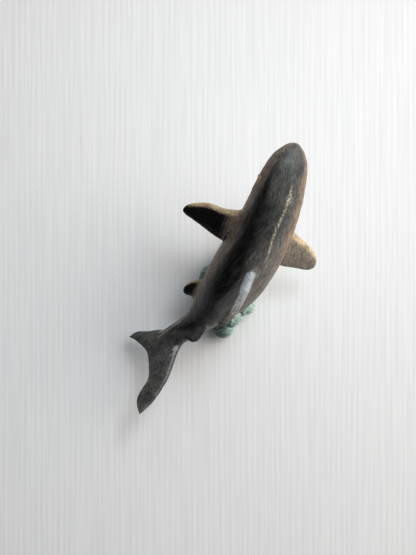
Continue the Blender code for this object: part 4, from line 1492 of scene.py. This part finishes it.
def shark_material(ragged, finish):
    """Coats from the flanks up: tan, slate, flecks, black, gilt edges, pale lines.

    The left flank's darker tan and part of the black are painted shade, and the right side's
    brighter gold, the pale band and parts of the pale lines are painted light.
    """
    material, s, surface = new_material("shark_paint")
    place = s.vector("straight")
    strokes = s.stretched(place, STROKE_STRETCH)
    streak = s.noise(strokes, *STREAK_NOISE)
    brush = s.noise(s.stretched(place, BRUSH_STRETCH), *BRUSH_NOISE)
    patch = s.noise(s.stretched(place, PATCH_STRETCH), *PATCH_NOISE)
    coats = ("slate", "black_and_shade", "pale_paint_and_highlight")
    slate, black_and_shade, pale_paint_and_highlight = (coat_mask(s, ragged, name, strokes) for name in coats)
    gilt = coat_mask(s, ragged, "gilt", place)
    on_right = s.step(s.part_of(place, "Y"), *RIGHT_SIDE)

    # Painted shade: the left flank is a darker copy of the right flank's tan
    flank = s.mix(on_right, TAN_IN_SHADE, TAN)
    flank = s.mix(s.times(s.step(patch, *UMBER_EDGE), UMBER_COVER), flank, UMBER)
    # Painted highlight: gold streaks on the lit right flank only
    gleam = s.times(s.step(streak, *GLEAM_EDGE), s.times(on_right, GLEAM_COVER))
    flank = s.mix(gleam, flank, GOLD)
    flank = s.mix(s.times(s.share("belly"), BELLY_COVER), flank, BELLY)
    back = s.mix(s.step(patch, *PALE_SLATE_EDGE), SLATE, PALE_SLATE)
    # Ash, partly painted light on the lit right side of the back
    back = s.mix(s.times(s.share("ash"), s.blend(streak, *ASH_STREAKS)), back, ASH)
    colour = s.toned(s.mix(slate, flank, back), s.blend(brush, *BRISTLES))

    flecks = s.step(s.noise(s.stretched(place, FLECK_STRETCH), *FLECK_NOISE), *FLECK_EDGE)
    flecks = s.times(flecks, s.step(patch, *FLECK_PATCHES))
    flecks = s.times(flecks, s.between(slate, *FLECK_COVER))
    colour = s.mix(flecks, colour, s.mix(on_right, CREAM, GOLD))
    # Black, partly paint and partly painted shade
    colour = s.mix(black_and_shade, colour, NIGHT)
    # Painted light: the gilt is brighter on the lit right side
    gold = s.mix(on_right, GOLD, GOLD_IN_LIGHT)
    colour = s.mix(gilt, colour, s.mix(s.step(streak, *GILT_EDGE), TAN, gold))
    # Pale band and painted highlights on the dorsal and tail
    colour = s.mix(pale_paint_and_highlight, colour, PALE_AND_HIGHLIGHT)
    rubbed = s.between(s.step(s.noise(place, *RUB_NOISE), *RUB_EDGE), *RUB_COVER)
    # Pale lines: wear, with a painted highlight along the ridge and painted rim light on the left
    colour = s.mix(s.times(s.share("ridge"), rubbed), colour, CREAM)

    roughness = s.times_plus(black_and_shade, NIGHT_SMOOTHER, s.between(slate, *SHARK_ROUGHNESS))
    coat = s.group(finish, {
        "Color": colour, "Hollow Color": HOLLOW_DARK, "Worn Color": WORN_TAN,
        "Hollow": s.share("hollow"), "Worn": s.share("worn"), "Vector": place,
        "Size": SHARK_FINISH_SIZE, "Mottle": SHARK_MOTTLE, "Roughness": roughness})
    set_surface(s, surface, coat["Color"], coat["Roughness"])
    surface.inputs["Specular IOR Level"].default_value = SHARK_SPECULAR
    grain = s.times_plus(brush, BRISTLE_GRAIN, coat["Height"])
    set_bump(s, surface, s.times(grain, s.between(black_and_shade, *NIGHT_GRAIN)), *SHARK_BUMP)
    return material


def coral_material(finish):
    """Sea green with a chalky tint from dry brushing, and painted shade on the side away from the
    lamps and under the shark.
    """
    material, s, surface = new_material("coral_paint")
    place = s.object_place()
    patches = s.noise(place, CORAL_PATCH)
    tint = s.mix(s.step(patches, *CORAL_PATCH_EDGE), CORAL_GREEN, CORAL_PALE)
    # Painted shade: the side away from the lamps, and under the shark, is painted darker, its chalk
    # too
    reach = s.vector_math("DOT_PRODUCT", "Value", place, CORAL_LIT_SIDE)
    lit_coral = s.step(s.times_plus(s.about_zero(patches), CORAL_STRAY, reach), *CORAL_LIT_EDGE)
    coat = s.group(finish, {
        "Color": s.mix(lit_coral, CORAL_SHADE, tint), "Hollow Color": CORAL_DARK,
        "Worn Color": s.mix(lit_coral, CORAL_CHALK_IN_SHADE, CORAL_CHALK),
        "Hollow": s.share("hollow"), "Worn": s.share("worn"), "Vector": place,
        "Size": CORAL_FINISH_SIZE, "Mottle": CORAL_MOTTLE, "Roughness": CORAL_ROUGHNESS})
    set_surface(s, surface, coat["Color"], coat["Roughness"])
    set_bump(s, surface, coat["Height"], *CORAL_BUMP)
    return material


def eye_material(side):
    """Amber glass round a dark pupil, ringed by the eye's own axis."""
    material, s, surface = new_material(side + "_amber_glass")
    turned = Vector(eye_axis(side)).to_track_quat("Z", "Y").to_euler()
    centred = s.node("ShaderNodeMapping", {
        "Vector": s.object_place(), "Location": Vector(eye_centre(side) * MM),
        "Rotation": turned}, vector_type="TEXTURE").outputs[0]
    off_axis = s.vector_math("LENGTH", "Value", s.stretched(centred, (1, 1, 0)))
    off_axis = s.math("DIVIDE", off_axis, EYE_RADIUS * MM)
    spokes = s.noise(s.stretched(centred, SPOKE_STRETCH), *SPOKE_NOISE)
    iris = s.mix(s.step(spokes, *SPOKE_EDGE), AMBER, AMBER_DARK)
    iris = s.mix(s.step(off_axis, *IRIS_EDGE), iris, AMBER_RIM)
    colour = s.mix(s.step(off_axis, *PUPIL_EDGE), NIGHT, iris)
    set_surface(s, surface, colour, s.between(spokes, *EYE_ROUGHNESS))
    surface.inputs["Coat Weight"].default_value = 1.0
    surface.inputs["Coat Roughness"].default_value = EYE_COAT_ROUGHNESS
    return material


def steel_material():
    """Steel with fine lines along its length, as drawn wire has."""
    material, s, surface = new_material("drawn_steel")
    lines = s.noise(s.stretched(s.object_place(), STEEL_STRETCH), *STEEL_NOISE)
    set_surface(s, surface, s.mix(lines, STEEL_DARK, STEEL), s.between(lines, *STEEL_ROUGHNESS))
    surface.inputs["Metallic"].default_value = 1.0
    set_bump(s, surface, lines, *STEEL_BUMP)
    return material


def felt_material():
    """Dark felt of matted fibres with a few loose hairs."""
    material, s, surface = new_material("felt_cloth")
    place = s.object_place()
    matted = s.noise(place, *MAT_NOISE)
    hairs = s.noise(s.stretched(place, HAIR_STRETCH), *HAIR_NOISE)
    colour = s.mix(s.times(matted, hairs), FELT_DARK, FELT)
    set_surface(s, surface, colour, s.between(hairs, *FELT_ROUGHNESS))
    surface.inputs["Sheen Weight"].default_value = FELT_SHEEN
    surface.inputs["Sheen Roughness"].default_value = FELT_SHEEN_ROUGHNESS
    set_bump(s, surface, s.math("ADD", matted, hairs), *FELT_BUMP)
    return material


def backdrop_material():
    """Pale ribbed cloth that the figurine stands on, with the shade of its ribs painted as stripes.
    """
    material, s, surface = new_material("backdrop")
    turned = s.node("ShaderNodeMapping", {
        "Vector": s.object_place(), "Rotation": (0, 0, -CAMERA_TURN)}).outputs[0]
    threads = s.noise(s.stretched(turned, THREAD_STRETCH), *THREAD_NOISE)
    drift = s.noise(s.stretched(turned, DRIFT_STRETCH), *DRIFT_NOISE)
    across = s.part_of(turned, "X")
    # Painted shade: the ribs' relief is painted as pale and dark stripes, with dark threads between
    phase = s.times_plus(across, 2 * math.pi / RIB_PITCH, s.times(drift, RIB_DRIFT))
    ribs = s.times_plus(s.math("SINE", phase), RIB_SHARE, s.step(threads, *THREAD_EDGE))
    s.join(surface.inputs["Base Color"], s.mix(ribs, BACKDROP_LOW, BACKDROP_HIGH))
    surface.inputs["Roughness"].default_value = BACKDROP_ROUGHNESS
    surface.inputs["Specular IOR Level"].default_value = BACKDROP_SPECULAR
    return material


# The studio

def add_light(name, turn, rise, distance, size, watts, colour):
    """Round soft light that shines on the middle of the scene."""
    light = bpy.data.lights.new(name, "AREA")
    light.shape = "DISK"
    light.size = size
    light.energy = watts
    light.color = colour
    lamp = bpy.data.objects.new(name, light)
    turn, rise = math.radians(turn), math.radians(rise)
    level = math.cos(rise)
    aim = Vector((level * math.cos(turn), level * math.sin(turn), math.sin(rise)))
    lamp.location = aim * distance
    lamp.rotation_euler = aim.to_track_quat("Z", "Y").to_euler()
    bpy.context.scene.collection.objects.link(lamp)


def make_backdrop():
    """Level ribbed cloth, far wider than the view."""
    data = bpy.data.meshes.new("backdrop")
    half = BACKDROP_HALF
    corners = [(-half, -half, 0), (half, -half, 0), (half, half, 0), (-half, half, 0)]
    data.from_pydata(corners, [], [(0, 1, 2, 3)])
    floor = bpy.data.objects.new("backdrop", data)
    floor.data.materials.append(backdrop_material())
    bpy.context.scene.collection.objects.link(floor)


def make_room():
    """World round the scene: bright on one side, dark overhead, with a plain wall low down."""
    world = bpy.data.worlds.new("room")
    world.use_nodes = True
    bpy.context.scene.world = world
    s = Shaders(world.node_tree)
    direction = s.node("ShaderNodeTexCoord").outputs["Generated"]
    up = s.part_of(direction, "Z")
    towards = s.vector_math("DOT_PRODUCT", "Value", direction, ROOM_SIDE)
    open_sky = s.math("SUBTRACT", 1.0, s.step(up, *ROOM_TOP_EDGE))
    bright = s.times(s.step(towards, *ROOM_SIDE_EDGE), open_sky)
    room = s.mix(bright, ROOM_DARK, ROOM_BRIGHT)
    background = world.node_tree.nodes["Background"]
    s.join(background.inputs["Color"], s.mix(s.step(up, *ROOM_WALL_EDGE), ROOM_WALL, room))
    background.inputs["Strength"].default_value = ROOM_STRENGTH


def make_camera():
    """Camera that looks straight down, as the photograph was taken."""
    lens = bpy.data.cameras.new("camera")
    lens.sensor_width = CAMERA_SENSOR
    lens.lens = CAMERA_LENS
    camera = bpy.data.objects.new("camera", lens)
    camera.location = CAMERA_PLACE
    camera.rotation_euler = (0, 0, CAMERA_TURN)
    bpy.context.scene.collection.objects.link(camera)
    bpy.context.scene.camera = camera


def assemble():
    """Makes the pieces, paints them and sets them on their body in place of their solids."""
    ragged, finish = ragged_edge_group(), hand_finish_group()
    shark = make_shark()
    shark.data.materials.append(shark_material(ragged, finish))
    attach(shark, "root")
    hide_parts("body", *FINS)
    coral = make_coral()
    coral.data.materials.append(coral_material(finish))
    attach(coral, "root")
    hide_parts("coral_base")
    pad = make_pad()
    pad.data.materials.append(felt_material())
    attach(pad, "root")
    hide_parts("felt_pad")
    steel = steel_material()
    for name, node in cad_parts.items():
        if name.endswith("_pin") or name == "support_rod":
            node.material_slots[0].material = steel
    for side in ("left", "right"):
        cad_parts[side + "_eye"].material_slots[0].material = eye_material(side)


assemble()
make_backdrop()
add_light("window", *WINDOW)
add_light("low_window", *LOW_WINDOW)
add_light("near_lamp", *NEAR_LAMP)
make_room()
make_camera()
bpy.context.scene.view_settings.view_transform = "Standard"
